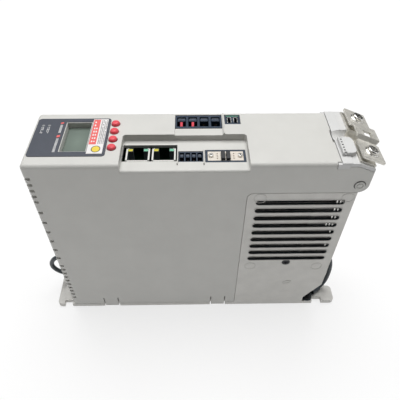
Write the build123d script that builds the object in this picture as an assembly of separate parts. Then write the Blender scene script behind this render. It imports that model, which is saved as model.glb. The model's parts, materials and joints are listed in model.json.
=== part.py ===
from build123d import *
import os

# Book-format servo drive, lying on its mounting face. Millimetres.
# The origin is on the mounting face, at the middle of the housing's length and width.
# +Z points out of the front panel, +X towards the motor-cable end, +Y across the width.

# Overall sizes
BODY_LENGTH = 200.0
BODY_WIDTH = 50.0
BODY_DEPTH = 152.0
WALL = 2.0
EDGE_RADIUS = 2.5
END_RADIUS = 6.0
SEAM = 0.25

# Base plate and feet
PLATE_THICKNESS = 3.5
TOP_FOOT_REACH = 12.5
LOW_FOOT_REACH = 10.0
LOW_FOOT_WAIST = 5.5
LOW_LOBE_WIDTH = 14.0
FOOT_RADIUS = 3.0
MOUNT_HOLE_RADIUS = 2.75
TOP_HOLE_OUT = 6.5
LOW_HOLE_OUT = 0.3
EDGE_NOTCH_DEPTH = 3.5
TOP_NOTCH_OUT = 0.8
TOP_NOTCH_LENGTH = 6.4
LOW_NOTCH_IN = 0.2
LOW_NOTCH_LENGTH = 7.8

# Heatsink duct
DUCT_LENGTH = 65.8
END_OVERHANG = 5.2
FRONT_SECTION = 23.0
DUCT_WALL = 2.5
DUCT_ROOF = 4.0
END_WALL = 2.0
SLOT_COUNT = 9
SLOT_PITCH = 7.2
SLOT_HEIGHT = 4.4
SLOT_END_MARGIN = 5.3
FIRST_SLOT_DOWN = 8.2
SEAM_CORNER_RADIUS = 4.0
CUT_TOP_HEIGHT = 28.6
CUT_LOW_HEIGHT = 9.6
CUT_LENGTH = 11.0
CUT_WIDTH = 15.0
GRILLE_HOLE_RADIUS = 1.6
GRILLE_PITCH = 4.6

# Fins
SPREADER = 5.0
FIN_THICKNESS = 1.8
FIN_CLEARANCE = 0.3
FIN_FAN_GAP = 1.5
RAIL_HEIGHT = 58.0
RAIL_THICKNESS = 6.0
LOW_FIN_COUNT = 5
FIN_SCREW_RADIUS = 1.5
FIN_SCREW_HEAD = 2.8
FIN_SCREW_INSET = 32.2
FIN_SCREW_LENGTH = 9.0

# Cooling fan
FAN_SIZE = 40.0
FAN_THICKNESS = 20.0
FAN_RIM = 1.2
FAN_CORNER_RADIUS = 3.0
FAN_HOLE_INSET = 4.0
FAN_STRUT = 2.0
HUB_RADIUS = 10.0
HUB_EDGE = 1.2
HUB_GAP = 0.8
BLADE_COUNT = 7
BLADE_THICKNESS = 1.2
BLADE_PITCH_ANGLE = 38.0
BLADE_TIP_GAP = 0.8
BLADE_SHARE = 0.72
BLADE_ROOT = 2.0
STRUT_BITE = 0.2
AXLE_RADIUS = 1.5
AXLE_CLEARANCE = 0.06
FAN_SCREW_RADIUS = 1.5
FAN_SCREW_HEAD = 2.8
FAN_SCREW_LENGTH = 12.0
SCREW_HEAD_HEIGHT = 1.6
SCREW_CLEARANCE = 0.25
CROSS_LENGTH = 1.2
CROSS_WIDTH = 0.3
CLOSE_CLEARANCE = 0.1

# Recessed connector strip
STRIP_START = 55.0
STRIP_LENGTH = 73.8
STRIP_WIDTH = 27.5
STRIP_DEPTH = 4.5
STRIP_RADIUS = 2.0
STRIP_LIP_RADIUS = 1.5
RIB_THICKNESS = 0.8
THIN_RIB = 0.56
RIB_HEIGHT = 1.2
RIB_LENGTH = 13.0
RIB_NEAR = 5.5
RIB_BITE = 0.2
CONNECTOR_GAP = 0.2

# Display
OVERLAY_START = 2.0
OVERLAY_LENGTH = 44.5
OVERLAY_NEAR = 8.0
OVERLAY_WIDTH = 35.5
OVERLAY_THICKNESS = 0.3
OVERLAY_RADIUS = 2.0
OVERLAY_GAP = 0.5
WINDOW_START = 20.0
WINDOW_LENGTH = 15.0
WINDOW_NEAR = 12.5
WINDOW_WIDTH = 27.0
WINDOW_DEPTH = 3.8
GLASS_THICKNESS = 1.2
COLLAR = 1.5
LABEL_START = 35.8
LABEL_LENGTH = 10.2
LABEL_NEAR = 10.0
LABEL_WIDTH = 32.5
LABEL_THICKNESS = 0.15
LIGHT_START = 6.0
LIGHT_PITCH = 3.6
LIGHT_NEAR = 36.6
LIGHT_RADIUS = 0.9

# Buttons
BUTTON_COUNT = 4
BUTTON_OUT = 49.6
BUTTON_NEAR = 15.5
BUTTON_PITCH = 7.5
BUTTON_RADIUS = 2.5
BUTTON_CLEARANCE = 0.3
BUTTON_HEIGHT = 1.8
BUTTON_TRAVEL = 1.2
BUTTON_FLANGE_RADIUS = 3.3
BUTTON_FLANGE = 0.8
BUTTON_STEM_RADIUS = 1.3
SWITCH_SIZE = 6.0
SWITCH_HEIGHT = 4.3
SWITCH_WELL_RADIUS = 1.7
SWITCH_WELL_DEPTH = 2.6

# Control board, parallel to the front panel
BOARD_THICKNESS = 1.6
BOARD_DOWN = 18.5
BOARD_MARGIN = 1.5
BOARD_END_IN = 22.0
POST_RADIUS = 3.0
POST_IN = 5.5
BOARD_SCREW_RADIUS = 1.3
BOARD_SCREW_HEAD = 2.5
BOARD_SCREW_REACH = 7.0

# Network jacks
JACK_OUT = 64.4
JACK_PITCH = 15.2
JACK_LENGTH = 13.9
JACK_NEAR = 8.8
JACK_WIDTH = 11.6
JACK_ROOM_START = 55.5
JACK_ROOM_LENGTH = 31.7
JACK_ROOM_WIDTH = 14.1
JACK_RECESS = 0.3
PLUG_LENGTH = 12.0
PLUG_WIDTH = 8.1
PLUG_DEPTH = 11.0
PLUG_IN = 0.9
CLIP_LENGTH = 6.2
CLIP_WIDTH = 3.0
LED_LENGTH = 2.6
LED_WIDTH = 2.0
LED_DEPTH = 3.0
LED_OUT = 4.6
CONTACT_COUNT = 8
CONTACT_PITCH = 1.02
CONTACT_THICKNESS = 0.4

# Small signal header
IO_START = 88.3
IO_LENGTH = 14.1
IO_NEAR = 8.2
IO_WIDTH = 8.9
IO_POLES = 4
IO_PITCH = 3.5
IO_RIM = 0.8
PIN_SIZE = 0.9
PIN_DOWN = 3.0

# Feedback connector
FEEDBACK_START = 103.9
FEEDBACK_LENGTH = 23.4
FEEDBACK_NEAR = 7.6
FEEDBACK_WIDTH = 10.6
FEEDBACK_RIM = 1.25
FEEDBACK_PLATE = 1.4
FEEDBACK_SCREW_RADIUS = 1.4
FEEDBACK_SCREW_PITCH = 17.0
FEEDBACK_POST_LENGTH = 2.3
FEEDBACK_POST_PITCH = 3.0
FEEDBACK_POST_HEIGHT = 1.7
FEEDBACK_POST_NEAR = 0.3
FEEDBACK_POST_FAR = 1.2
FEEDBACK_HOLE_RADIUS = 0.45
FEEDBACK_HOLE_OUT = 4.8
FEEDBACK_HOLE_PITCH = 2.0
FEEDBACK_GAP = 0.05

# Motor and brake headers
MOTOR_START = 86.0
MOTOR_LENGTH = 28.5
MOTOR_FAR = 3.2
MOTOR_WIDTH = 12.5
MOTOR_POLES = 4
MOTOR_PITCH = 7.0
MOTOR_RIM = 0.75
POWER_PIN = 1.8
KEY_THICKNESS = 1.5
KEY_WIDTH = 4.4
KEY_DEPTH = 6.0
KEY_COUNT = 2
BRAKE_START = 116.6
BRAKE_LENGTH = 9.4
BRAKE_WIDTH = 9.2
BRAKE_POLES = 2
BRAKE_PITCH = 4.4
HEADER_DEPTH = 12.0
HEADER_RECESS = 0.4
LEDGE_DROP = 0.8
SIDE_RIB_WIDTH = 20.0

# Power board, upright beside the far wall
SIDE_PLATE = 2.0
SIDE_PLATE_GAP = 0.5
SIDE_PLATE_HEIGHT = 118.0
SIDE_PLATE_IN = 8.0
STANDOFF_LENGTH = 8.0
STANDOFF_RADIUS = 3.0
POWER_BOARD_LOW = 8.0
POWER_BOARD_HIGH = 124.0
POWER_BOARD_END = 5.0
STANDOFF_INSET = 12.0
CAPACITOR_COUNT = 3
CAPACITOR_RADIUS = 11.0
CAPACITOR_LENGTH = 28.0
CAPACITOR_PITCH = 24.0
CAPACITOR_HEIGHT = 100.0
CAPACITOR_OUT = 34.0
CAPACITOR_EDGE = 1.0
GROOVE_UP = 4.0
GROOVE_WIDTH = 1.0
GROOVE_DEPTH = 0.6
BOARD_CONNECTOR_LENGTH = 40.0
MODULE_THICKNESS = 8.0
MODULE_WIDTH = 26.0
MODULE_LENGTH = 44.0
MODULE_HEIGHT = 62.0
MODULE_GAP = 1.0
PAD_THICKNESS = 0.5
CHOKE_RADIUS = 13.0
CHOKE_HOLE = 6.0
CHOKE_LENGTH = 14.0
CHOKE_OUT = 32.0
CHOKE_HEIGHT = 40.0
TRANSFORMER_SIZE = 22.0
TRANSFORMER_OUT = 88.0
TRANSFORMER_HEIGHT = 38.0
TRANSFORMER_EDGE = 1.5
RELAY_LENGTH = 16.0
RELAY_WIDTH = 14.0
RELAY_THICKNESS = 12.0
RELAY_OUT = 62.0
RELAY_HEIGHT = 66.0
RELAY_EDGE = 1.0
SHUNT_LENGTH = 58.0
SHUNT_WIDTH = 13.0
SHUNT_HEIGHT = 12.0
SHUNT_START = 7.0
SHUNT_GROOVES = 5
SHUNT_GROOVE_WIDTH = 1.0
SHUNT_GROOVE_DEPTH = 2.0
GLAND_WALL = 0.5
GLAND_LENGTH = 4.0

# Headers on the top end
END_HEADER_DEPTH = 13.0
END_HEADER_WIDTH = 12.0
END_HEADER_RIM = 1.0
END_HEADER_RECESS = 0.4
MAINS_HEIGHT = 92.0
BUS_HEIGHT = 64.0
SUPPLY_HEIGHT = 115.0
SAFETY_NEAR = 17.6
SAFETY_WIDTH = 16.0
SAFETY_POLES = 4
SAFETY_PITCH = 3.5
SAFETY_HEIGHT = 9.0
END_POWER_PITCH = 7.5
END_SIGNAL_PITCH = 5.0
SHUNT_PLUG_HEIGHT = 38.0
PLUG_CLEARANCE = 0.15
PLUG_PROUD = 0.6
SHUNT_EXIT_HEIGHT = 11.0
SHUNT_LINE_NEAR = 23.5

# Vents in the top end
VENT_PITCH = 4.755
VENT_FIRST = 13.7
VENT_SLOTS = 28
VENT_CLOSE_SLOTS = 10
VENT_UPPER_SLOT = 23
VENT_OPENING = 2.0
VENT_WRAP = 4.0
VENT_WIDTH = 17.0

# Snap latches of the hood
LATCH_OUT = 25.0
LATCH_2_OUT = 109.6
LATCH_LENGTH = 11.8
LATCH_SLIT = 0.7
LATCH_HEIGHT = 12.0
LATCH_HOOK = 0.8
RIVET_IN = 5.7
RIVET_UP = 6.2
RIVET_RADIUS = 2.0
RIVET_HEAD_RADIUS = 3.0
RIVET_HEAD = 0.6
LUG_LENGTH = 8.0
LUG_HEIGHT = 11.0
LUG_THICKNESS = 3.5

# Cable cap and clamp at the motor-cable end
CAP_LENGTH = 20.0
CAP_BAND = 6.0
CAP_PROUD = 0.4
CAP_THICKNESS = 2.3
SLOPE_ANGLE = 22.6
SLOPE_LENGTH = 10.0
CAP_FLAP = 8.0
CAP_FLAP_WIDTH = 42.0
TAB_LENGTH = 7.0
TAB_DOWN = 3.5
TAB_BACK = 2.0
TROUGH_RADIUS = 6.5
TROUGH_RISE = 1.8
TROUGH_WALL = 1.6
BRACKET_THICKNESS = 1.2
BRACKET_LENGTH = 11.0
CLAMP_WIDTH = 46.5
CLAMP_LENGTH = 15.3
CLAMP_THICKNESS = 1.3
CLAMP_GAP = 1.8
ARCH_WIDTH = 14.0
ARCH_RISE = 2.4
ARCH_RAMP = 2.8
ARCH_SKIN = 1.0
ARCH_WINDOW_LENGTH = 6.0
ARCH_WINDOW_WIDTH = 5.0
ARCH_WINDOW_Y = -2.4
NOTCH_RADIUS = 1.2
PLATE_CORNER = 1.0
CLAMP_SCREW_PITCH = 31.7
CLAMP_SCREW_RADIUS = 2.0
CLAMP_HOLE_CLEARANCE = 0.3
CLAMP_THREAD_CLEARANCE = 0.06
CLAMP_HEAD_RADIUS = 3.6
CLAMP_HEAD_HEIGHT = 2.2
CLAMP_HEAD_EDGE = 0.88
HEAD_GAP = 0.02
RECESS_LENGTH = 5.4
RECESS_WIDTH = 0.9
CLAMP_SCREW_REACH = 8.5
LINER_THICKNESS = 1.0
BOSS_RADIUS = 3.0
BOSS_DEPTH = 3.0
LEG_LENGTH = 2.0
LEG_WIDTH = 4.0
LEG_OUT = 9.0
TILE_START = 1.5
TILE_LENGTH = 8.2
TILE_WIDTH = 14.5
TILE_THICKNESS = 2.4
TILE_NEAR = 6.5
TILE_RADIUS = 3.0
TILE_HOLES = 5
TILE_HOLE_RADIUS = 0.6
TILE_HOLE_PITCH = 2.4
TILE_HOLE_IN = 1.3
TILE_STEP_IN = 0.6
TILE_STEP_LENGTH = 1.6
TILE_STEP_WIDTH = 1.0
TILE_EDGE = 0.4

# Leads
SHUNT_LEAD_RADIUS = 1.75
EARTH_LEAD_RADIUS = 1.6
LEAD_HOLE_CLEARANCE = 0.5
RUN_SHARE = 0.45
LUG_PLATE = 1.0
LUG_RING_RADIUS = 4.2
LUG_SCREW_RADIUS = 2.0
BARREL_RADIUS = 2.4
BARREL_LENGTH = 7.0
EARTH_IN = 6.5
EARTH_NEAR = 4.0

# Places that follow from the sizes above
TOP_END = -BODY_LENGTH / 2
LOW_END = BODY_LENGTH / 2
NEAR = -BODY_WIDTH / 2
FAR = BODY_WIDTH / 2
FRONT = BODY_DEPTH
DUCT_END = LOW_END - END_OVERHANG
DUCT_START = DUCT_END - DUCT_LENGTH
DUCT_TOP = FRONT - FRONT_SECTION
HOOD_SEAM = DUCT_TOP + SEAM
HOOD_FOOT = PLATE_THICKNESS + SEAM
HOOD_SPLIT = DUCT_START - SEAM
STRIP_Z = FRONT - STRIP_DEPTH
STRIP_X = (TOP_END + STRIP_START, TOP_END + STRIP_START + STRIP_LENGTH)
STRIP_FAR = NEAR + STRIP_WIDTH
BOARD_TOP = FRONT - BOARD_DOWN
BOARD_LOW = BOARD_TOP - BOARD_THICKNESS
FIRST_SLOT = DUCT_TOP - FIRST_SLOT_DOWN
FAN_HEIGHT = FIRST_SLOT - (SLOT_COUNT - 1) / 2 * SLOT_PITCH
FAN_END = DUCT_END - END_WALL
FIN_SCREW_X = DUCT_END - FIN_SCREW_INSET
FAN_START = FAN_END - FAN_THICKNESS
FAN_BORE_RADIUS = FAN_SIZE / 2 - FAN_RIM
FAN_HOLE_PITCH = FAN_SIZE - 2 * FAN_HOLE_INSET
CAP_X = LOW_END - CAP_LENGTH
SLOPE_X = LOW_END - SLOPE_LENGTH
SIDE_PLATE_FAR = FAR - WALL - SIDE_PLATE_GAP
SIDE_PLATE_NEAR = SIDE_PLATE_FAR - SIDE_PLATE
POWER_BOARD_FAR = SIDE_PLATE_NEAR - STANDOFF_LENGTH
POWER_BOARD_NEAR = POWER_BOARD_FAR - BOARD_THICKNESS
POWER_BOARD_X = (TOP_END + POWER_BOARD_END, DUCT_START - POWER_BOARD_END)
SHUNT_LINE_Y = NEAR + SHUNT_LINE_NEAR
CLAMP_LOW = BRACKET_THICKNESS + CLAMP_GAP
CLAMP_HIGH = CLAMP_LOW + CLAMP_THICKNESS
SCREW_X = CLAMP_LENGTH / 2
LINER_RADIUS = TROUGH_RADIUS + TROUGH_WALL
SLOPE = Location((SLOPE_X, 0, FRONT), (0, SLOPE_ANGLE, 0))
SLOPE_END = SLOPE_LENGTH / Vector(1, 0).rotate(Axis.Z, SLOPE_ANGLE).X
STAND = (Align.CENTER, Align.CENTER, Align.MIN)
CORNER = (Align.MIN, Align.MIN, Align.MIN)
BIG = 2 * BODY_LENGTH
SAME = 0.01


def span(start, size):
    """A stretch from its start and its size."""
    return (start, start + size)


def about(middle, size):
    """A stretch from its middle and its size."""
    return (middle - size / 2, middle + size / 2)


def block(x, y, z):
    """A box between a low and a high limit on each axis."""
    solid = Box(x[1] - x[0], y[1] - y[0], z[1] - z[0], align=CORNER)
    return Pos(x[0], y[0], z[0]) * solid


def rod(axis, middle, ends, radius):
    """A cylinder along X, Y or Z. The middle is in the two other coordinates, in order."""
    drum = Cylinder(radius, ends[1] - ends[0], align=STAND)
    if axis == "X":
        return Pos(ends[0], middle[0], middle[1]) * Rot(0, 90, 0) * drum
    if axis == "Y":
        return Pos(middle[0], ends[0], middle[1]) * Rot(-90, 0, 0) * drum
    return Pos(middle[0], middle[1], ends[0]) * drum


def prism(points, y):
    """A profile in X and Z drawn out along Y."""
    outline = Polyline(*[(px, y[0], pz) for px, pz in points], close=True)
    return extrude(make_face(outline), amount=y[1] - y[0], dir=(0, 1, 0))


def slot(x, y, height, opening):
    """A slot with round ends along X, cut through along Y."""
    radius = opening / 2
    ends = (x[0] + radius, x[1] - radius)
    middle = block(ends, y, about(height, opening))
    return middle + [rod("Y", (end, height), y, radius) for end in ends]


def rounded(solid, axis, radius, chosen):
    """Rounds the edges along an axis for which the test is true."""
    return fillet(solid.edges().filter_by(axis).filter_by(chosen), radius)


def near_to(value, target):
    """True where two lengths are the same."""
    return abs(value - target) < SAME


def at_corner(edge, x, z):
    """True for an edge whose middle is at a place in X and Z."""
    return near_to(edge.center().X, x) and near_to(edge.center().Z, z)


# ---------------------------------------------------------------- places of connectors and leads

JACK_X = [about(TOP_END + JACK_OUT + index * JACK_PITCH, JACK_LENGTH) for index in range(2)]
MOTOR_X = span(TOP_END + MOTOR_START, MOTOR_LENGTH)
MOTOR_Y = (FAR - MOTOR_FAR - MOTOR_WIDTH, FAR - MOTOR_FAR)
BRAKE_X = span(TOP_END + BRAKE_START, BRAKE_LENGTH)
BRAKE_Y = (FAR - MOTOR_FAR - BRAKE_WIDTH, FAR - MOTOR_FAR)
EARTH_SCREW = (DUCT_END - EARTH_IN, NEAR + EARTH_NEAR)
EARTH_ROUTE = [
    (DUCT_END + 4.2, NEAR + 11.0, PLATE_THICKNESS + BARREL_RADIUS),
    (DUCT_END + 8.7, NEAR + 13.5, PLATE_THICKNESS + 5.5),
    (DUCT_END + 10.8, NEAR + 15.5, PLATE_THICKNESS + 13.0),
    (DUCT_END + 11.6, NEAR + 18.0, PLATE_THICKNESS + 22.5),
    (DUCT_END + 9.8, NEAR + 20.2, PLATE_THICKNESS + 30.5),
    (DUCT_END + 5.8, NEAR + 21.6, PLATE_THICKNESS + 36.0),
    (DUCT_END - END_WALL, NEAR + 22.0, PLATE_THICKNESS + 37.5),
]
SHUNT_ROUTE = [
    (TOP_END + 2.0, SHUNT_LINE_Y, SHUNT_PLUG_HEIGHT),
    (TOP_END - 6.5, SHUNT_LINE_Y, SHUNT_PLUG_HEIGHT - 1.0),
    (TOP_END - 14.5, SHUNT_LINE_Y, SHUNT_PLUG_HEIGHT - 5.5),
    (TOP_END - 18.0, SHUNT_LINE_Y, SHUNT_PLUG_HEIGHT - 13.5),
    (TOP_END - 15.0, SHUNT_LINE_Y, SHUNT_PLUG_HEIGHT - 21.5),
    (TOP_END - 7.5, SHUNT_LINE_Y, SHUNT_PLUG_HEIGHT - 26.2),
    (TOP_END + SHUNT_START - GLAND_LENGTH, SHUNT_LINE_Y, SHUNT_EXIT_HEIGHT),
]


def screw(axis, middle, seat, direction, radius, head, reach):
    """A pan-head screw with a cross recess. The seat is under the head, which points along direction."""
    shank = sorted((seat, seat - direction * reach))
    cap = sorted((seat, seat + direction * SCREW_HEAD_HEIGHT))
    solid = rod(axis, middle, shank, radius) + rod(axis, middle, cap, head)
    top = sorted((seat + direction * SCREW_HEAD_HEIGHT / 2, seat + direction * SCREW_HEAD_HEIGHT))
    sizes = (head * CROSS_LENGTH, head * CROSS_WIDTH)
    for arm in (sizes, sizes[::-1]):
        across = [about(place, size) for place, size in zip(middle, arm)]
        across.insert("XYZ".index(axis), tuple(top))
        solid -= block(*across)
    return solid


# ---------------------------------------------------------------- chassis and cooling

def slot_heights():
    return [FIRST_SLOT - index * SLOT_PITCH for index in range(SLOT_COUNT)]


def make_chassis():
    """Cast base plate with two feet, the ventilated duct and the side plate that carries the power board."""
    plate = block((TOP_END - TOP_FOOT_REACH, LOW_END + LOW_FOOT_REACH), (NEAR, FAR), (0, PLATE_THICKNESS))
    waist = (LOW_END + LOW_FOOT_WAIST, LOW_END + LOW_FOOT_REACH + 1)
    plate -= block(waist, (NEAR + LOW_LOBE_WIDTH, FAR - LOW_LOBE_WIDTH), (0, PLATE_THICKNESS))
    ends = (TOP_END - TOP_FOOT_REACH, LOW_END + LOW_FOOT_REACH)
    plate = rounded(plate, Axis.Z, FOOT_RADIUS, lambda e: any(near_to(e.center().X, end) for end in ends))
    top_notch = TOP_END - TOP_NOTCH_OUT - TOP_NOTCH_LENGTH
    low_notch = LOW_END - LOW_NOTCH_IN - LOW_NOTCH_LENGTH
    for start, length in ((top_notch, TOP_NOTCH_LENGTH), (low_notch, LOW_NOTCH_LENGTH)):
        plate -= block(span(start, length), (NEAR, NEAR + EDGE_NOTCH_DEPTH), (0, PLATE_THICKNESS))
    for hole in (TOP_END - TOP_HOLE_OUT, LOW_END + LOW_HOLE_OUT):
        plate -= rod("Z", (hole, 0), (0, PLATE_THICKNESS), MOUNT_HOLE_RADIUS)
    duct = (DUCT_START, DUCT_END)
    height = (PLATE_THICKNESS, DUCT_TOP)
    box = block(duct, (NEAR, FAR), height)
    box = rounded(box, Axis.Y, SEAM_CORNER_RADIUS, lambda e: at_corner(e, DUCT_START, DUCT_TOP))
    inside = (NEAR + DUCT_WALL, FAR - DUCT_WALL)
    box -= block((DUCT_START, FAN_END), inside, (PLATE_THICKNESS, DUCT_TOP - DUCT_ROOF))
    for slot_height in slot_heights():
        stretch = (DUCT_START + SLOT_END_MARGIN, DUCT_END - SLOT_END_MARGIN)
        box -= slot(stretch, (NEAR, FAR), slot_height, SLOT_HEIGHT)
    box -= grille_holes()
    cut = [
        (DUCT_END + 1, CUT_TOP_HEIGHT + 1),
        (DUCT_END - CUT_LENGTH, CUT_LOW_HEIGHT),
        (DUCT_END - CUT_LENGTH, PLATE_THICKNESS),
        (DUCT_END + 1, PLATE_THICKNESS),
    ]
    box -= prism(cut, (NEAR, NEAR + CUT_WIDTH))
    exit_hole = EARTH_LEAD_RADIUS + LEAD_HOLE_CLEARANCE
    box -= rod("X", EARTH_ROUTE[-1][1:], (FAN_END, DUCT_END), exit_hole)
    box -= rod("Y", (FIN_SCREW_X, RAIL_HEIGHT), (NEAR, FAR), FIN_SCREW_RADIUS + SCREW_CLEARANCE)
    for side in (-1, 1):
        head = sorted((side * FAR, side * (FAR - SCREW_HEAD_HEIGHT)))
        box -= rod("Y", (FIN_SCREW_X, RAIL_HEIGHT), head, FIN_SCREW_HEAD + SCREW_CLEARANCE)
    for corner in fan_corners():
        box -= rod("X", corner, (FAN_END, DUCT_END), FAN_SCREW_RADIUS + CLOSE_CLEARANCE)
    side_plate = block(
        (TOP_END + SIDE_PLATE_IN, DUCT_START + DUCT_WALL),
        (SIDE_PLATE_NEAR, SIDE_PLATE_FAR),
        (PLATE_THICKNESS, SIDE_PLATE_HEIGHT),
    )
    chassis = plate + box + side_plate
    for side in (-1, 1):
        y = sorted((side * (FAR - WALL - SEAM), side * (FAR - WALL - SEAM - LUG_THICKNESS)))
        lug = block(about(LOW_END - RIVET_IN - LUG_THICKNESS, LUG_LENGTH), y, span(DUCT_TOP, LUG_HEIGHT))
        lug -= rod("Y", (LOW_END - RIVET_IN, DUCT_TOP + RIVET_UP), y, RIVET_RADIUS)
        chassis += lug
    chassis -= rod("Z", (EARTH_SCREW[0], EARTH_SCREW[1]), (0, PLATE_THICKNESS), LUG_SCREW_RADIUS)
    for x in latch_starts():
        for side in (-1, 1):
            y = sorted((side * FAR, side * (FAR - WALL - LATCH_HOOK)))
            chassis -= block((x - SEAM, x + LATCH_LENGTH + SEAM), y, (0, PLATE_THICKNESS))
    return chassis


def grille_holes():
    """Round holes on a square grid over the fan's mouth."""
    holes = []
    count = int(FAN_BORE_RADIUS / GRILLE_PITCH)
    steps = range(-count, count + 1)
    for row in steps:
        for column in steps:
            y, z = row * GRILLE_PITCH, column * GRILLE_PITCH
            if (y * y + z * z) ** 0.5 + GRILLE_HOLE_RADIUS < FAN_BORE_RADIUS:
                holes.append(rod("X", (y, FAN_HEIGHT + z), (FAN_END, DUCT_END), GRILLE_HOLE_RADIUS))
    return holes


def make_fin_block():
    """Spreader plate with level fins, one behind each bar of the side grilles."""
    inside = (NEAR + DUCT_WALL + FIN_CLEARANCE, FAR - DUCT_WALL - FIN_CLEARANCE)
    floor = PLATE_THICKNESS + FIN_CLEARANCE
    block_shape = block(span(DUCT_START, SPREADER), inside, (floor, DUCT_TOP - DUCT_ROOF - FIN_CLEARANCE))
    notch = (SIDE_PLATE_NEAR - FIN_CLEARANCE, FAR)
    notch_height = (0, SIDE_PLATE_HEIGHT + FIN_CLEARANCE)
    block_shape -= block(span(DUCT_START, DUCT_WALL + FIN_CLEARANCE), notch, notch_height)
    reach = (DUCT_START + SPREADER, FAN_START - FIN_FAN_GAP)
    heights = [height - SLOT_PITCH / 2 for height in slot_heights()[:-1]]
    heights += [RAIL_HEIGHT - (index + 1) * SLOT_PITCH for index in range(LOW_FIN_COUNT)]
    for height in heights:
        block_shape += block(reach, inside, about(height, FIN_THICKNESS))
    block_shape += block(reach, inside, about(RAIL_HEIGHT, RAIL_THICKNESS))
    return block_shape - rod("Y", (FIN_SCREW_X, RAIL_HEIGHT), (NEAR, FAR), FIN_SCREW_RADIUS)


def make_fin_screws():
    """One screw from each side into the fin block's rail."""
    place = (FIN_SCREW_X, RAIL_HEIGHT)
    seat = FAR - SCREW_HEAD_HEIGHT
    sizes = (FIN_SCREW_RADIUS, FIN_SCREW_HEAD, FIN_SCREW_LENGTH)
    return [screw("Y", place, side * seat, side, *sizes) for side in (-1, 1)]


def fan_corners():
    half = FAN_HOLE_PITCH / 2
    return [(y, FAN_HEIGHT + z) for y in (-half, half) for z in (-half, half)]


def make_fan_frame():
    """Square axial fan frame with a hub plate on struts at its inner side."""
    frame = block((FAN_START, FAN_END), about(0, FAN_SIZE), about(FAN_HEIGHT, FAN_SIZE))
    frame = fillet(frame.edges().filter_by(Axis.X), FAN_CORNER_RADIUS)
    frame -= rod("X", (0, FAN_HEIGHT), (FAN_START, FAN_END), FAN_BORE_RADIUS)
    plate = span(FAN_START, FAN_STRUT)
    frame += rod("X", (0, FAN_HEIGHT), plate, HUB_RADIUS)
    reach = 2 * (FAN_BORE_RADIUS + STRUT_BITE)
    frame += block(plate, about(0, reach), about(FAN_HEIGHT, FAN_STRUT))
    frame += block(plate, about(0, FAN_STRUT), about(FAN_HEIGHT, reach))
    frame -= rod("X", (0, FAN_HEIGHT), plate, AXLE_RADIUS + AXLE_CLEARANCE)
    for corner in fan_corners():
        frame -= rod("X", corner, (FAN_START, FAN_END), FAN_SCREW_RADIUS)
    return frame


def make_fan_rotor():
    """Hub, axle and pitched blades that turn as one piece."""
    start = FAN_START + FAN_STRUT + HUB_GAP
    end = FAN_END - HUB_GAP
    hub = rod("X", (0, FAN_HEIGHT), (start, end), HUB_RADIUS)
    hub = fillet(hub.edges().sort_by(Axis.X)[-1], HUB_EDGE)
    hub += rod("X", (0, FAN_HEIGHT), (FAN_START + FAN_STRUT / 4, start), AXLE_RADIUS)
    tip = FAN_BORE_RADIUS - BLADE_TIP_GAP
    blade_length = (end - start) * BLADE_SHARE
    blade_reach = (HUB_RADIUS - BLADE_ROOT, FAN_BORE_RADIUS)
    blade = block(about(0, blade_length), about(0, BLADE_THICKNESS), blade_reach)
    blade = Rot(0, 0, BLADE_PITCH_ANGLE) * blade
    limit = rod("X", (0, 0), about(0, end - start), tip)
    blade = blade & limit
    middle = Pos((start + end) / 2, 0, FAN_HEIGHT)
    for index in range(BLADE_COUNT):
        hub += middle * Rot(index * 360 / BLADE_COUNT, 0, 0) * blade
    return hub


def make_fan_screws():
    """Four screws through the grille wall into the fan frame."""
    sizes = (FAN_SCREW_RADIUS, FAN_SCREW_HEAD, FAN_SCREW_LENGTH)
    return [screw("X", corner, DUCT_END, 1, *sizes) for corner in fan_corners()]


# ---------------------------------------------------------------- hood and cable cap

def latch_starts():
    return [TOP_END + LATCH_OUT, TOP_END + LATCH_2_OUT]


def button_places():
    x = TOP_END + BUTTON_OUT
    return [(x, NEAR + BUTTON_NEAR + index * BUTTON_PITCH) for index in range(BUTTON_COUNT)]


def light_places():
    return [(TOP_END + LIGHT_START + index * LIGHT_PITCH, NEAR + LIGHT_NEAR) for index in range(2)]


def window_block(margin, z):
    """A block over the display window, wider than it by a margin all round."""
    x = span(TOP_END + WINDOW_START - margin, WINDOW_LENGTH + 2 * margin)
    y = span(NEAR + WINDOW_NEAR - margin, WINDOW_WIDTH + 2 * margin)
    return block(x, y, z)


def post_places():
    ends = (TOP_END + WALL + POST_IN, LOW_END - BOARD_END_IN - POST_IN)
    sides = (NEAR + POST_IN, FAR - POST_IN)
    return [(x, y) for x in ends for y in sides]


def cap_roof(down):
    """Outline of the front surface over the cable cap, lowered by a distance, as X and Z points."""
    end = SLOPE * Pos(SLOPE_END, 0, 0)
    return [(CAP_X, FRONT - down), (SLOPE_X, FRONT - down), (LOW_END, end.position.Z - down)]


def connector_zones():
    """Openings in the front for the connectors, each the connector's size and a gap all round."""
    zones = [
        (span(TOP_END + JACK_ROOM_START, JACK_ROOM_LENGTH), span(NEAR + JACK_NEAR, JACK_ROOM_WIDTH)),
        (span(TOP_END + IO_START, IO_LENGTH), span(NEAR + IO_NEAR, IO_WIDTH)),
        (span(TOP_END + FEEDBACK_START, FEEDBACK_LENGTH), span(NEAR + FEEDBACK_NEAR, FEEDBACK_WIDTH)),
        (MOTOR_X, MOTOR_Y),
        (BRAKE_X, BRAKE_Y),
    ]
    return [[(low - CONNECTOR_GAP, high + CONNECTOR_GAP) for low, high in zone] for zone in zones]


def vent_heights():
    close = list(range(VENT_CLOSE_SLOTS))
    spaced = list(range(VENT_CLOSE_SLOTS + 1, VENT_UPPER_SLOT, 2))
    upper = list(range(VENT_UPPER_SLOT, VENT_SLOTS))
    return [VENT_FIRST + index * VENT_PITCH for index in close + spaced + upper]


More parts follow.
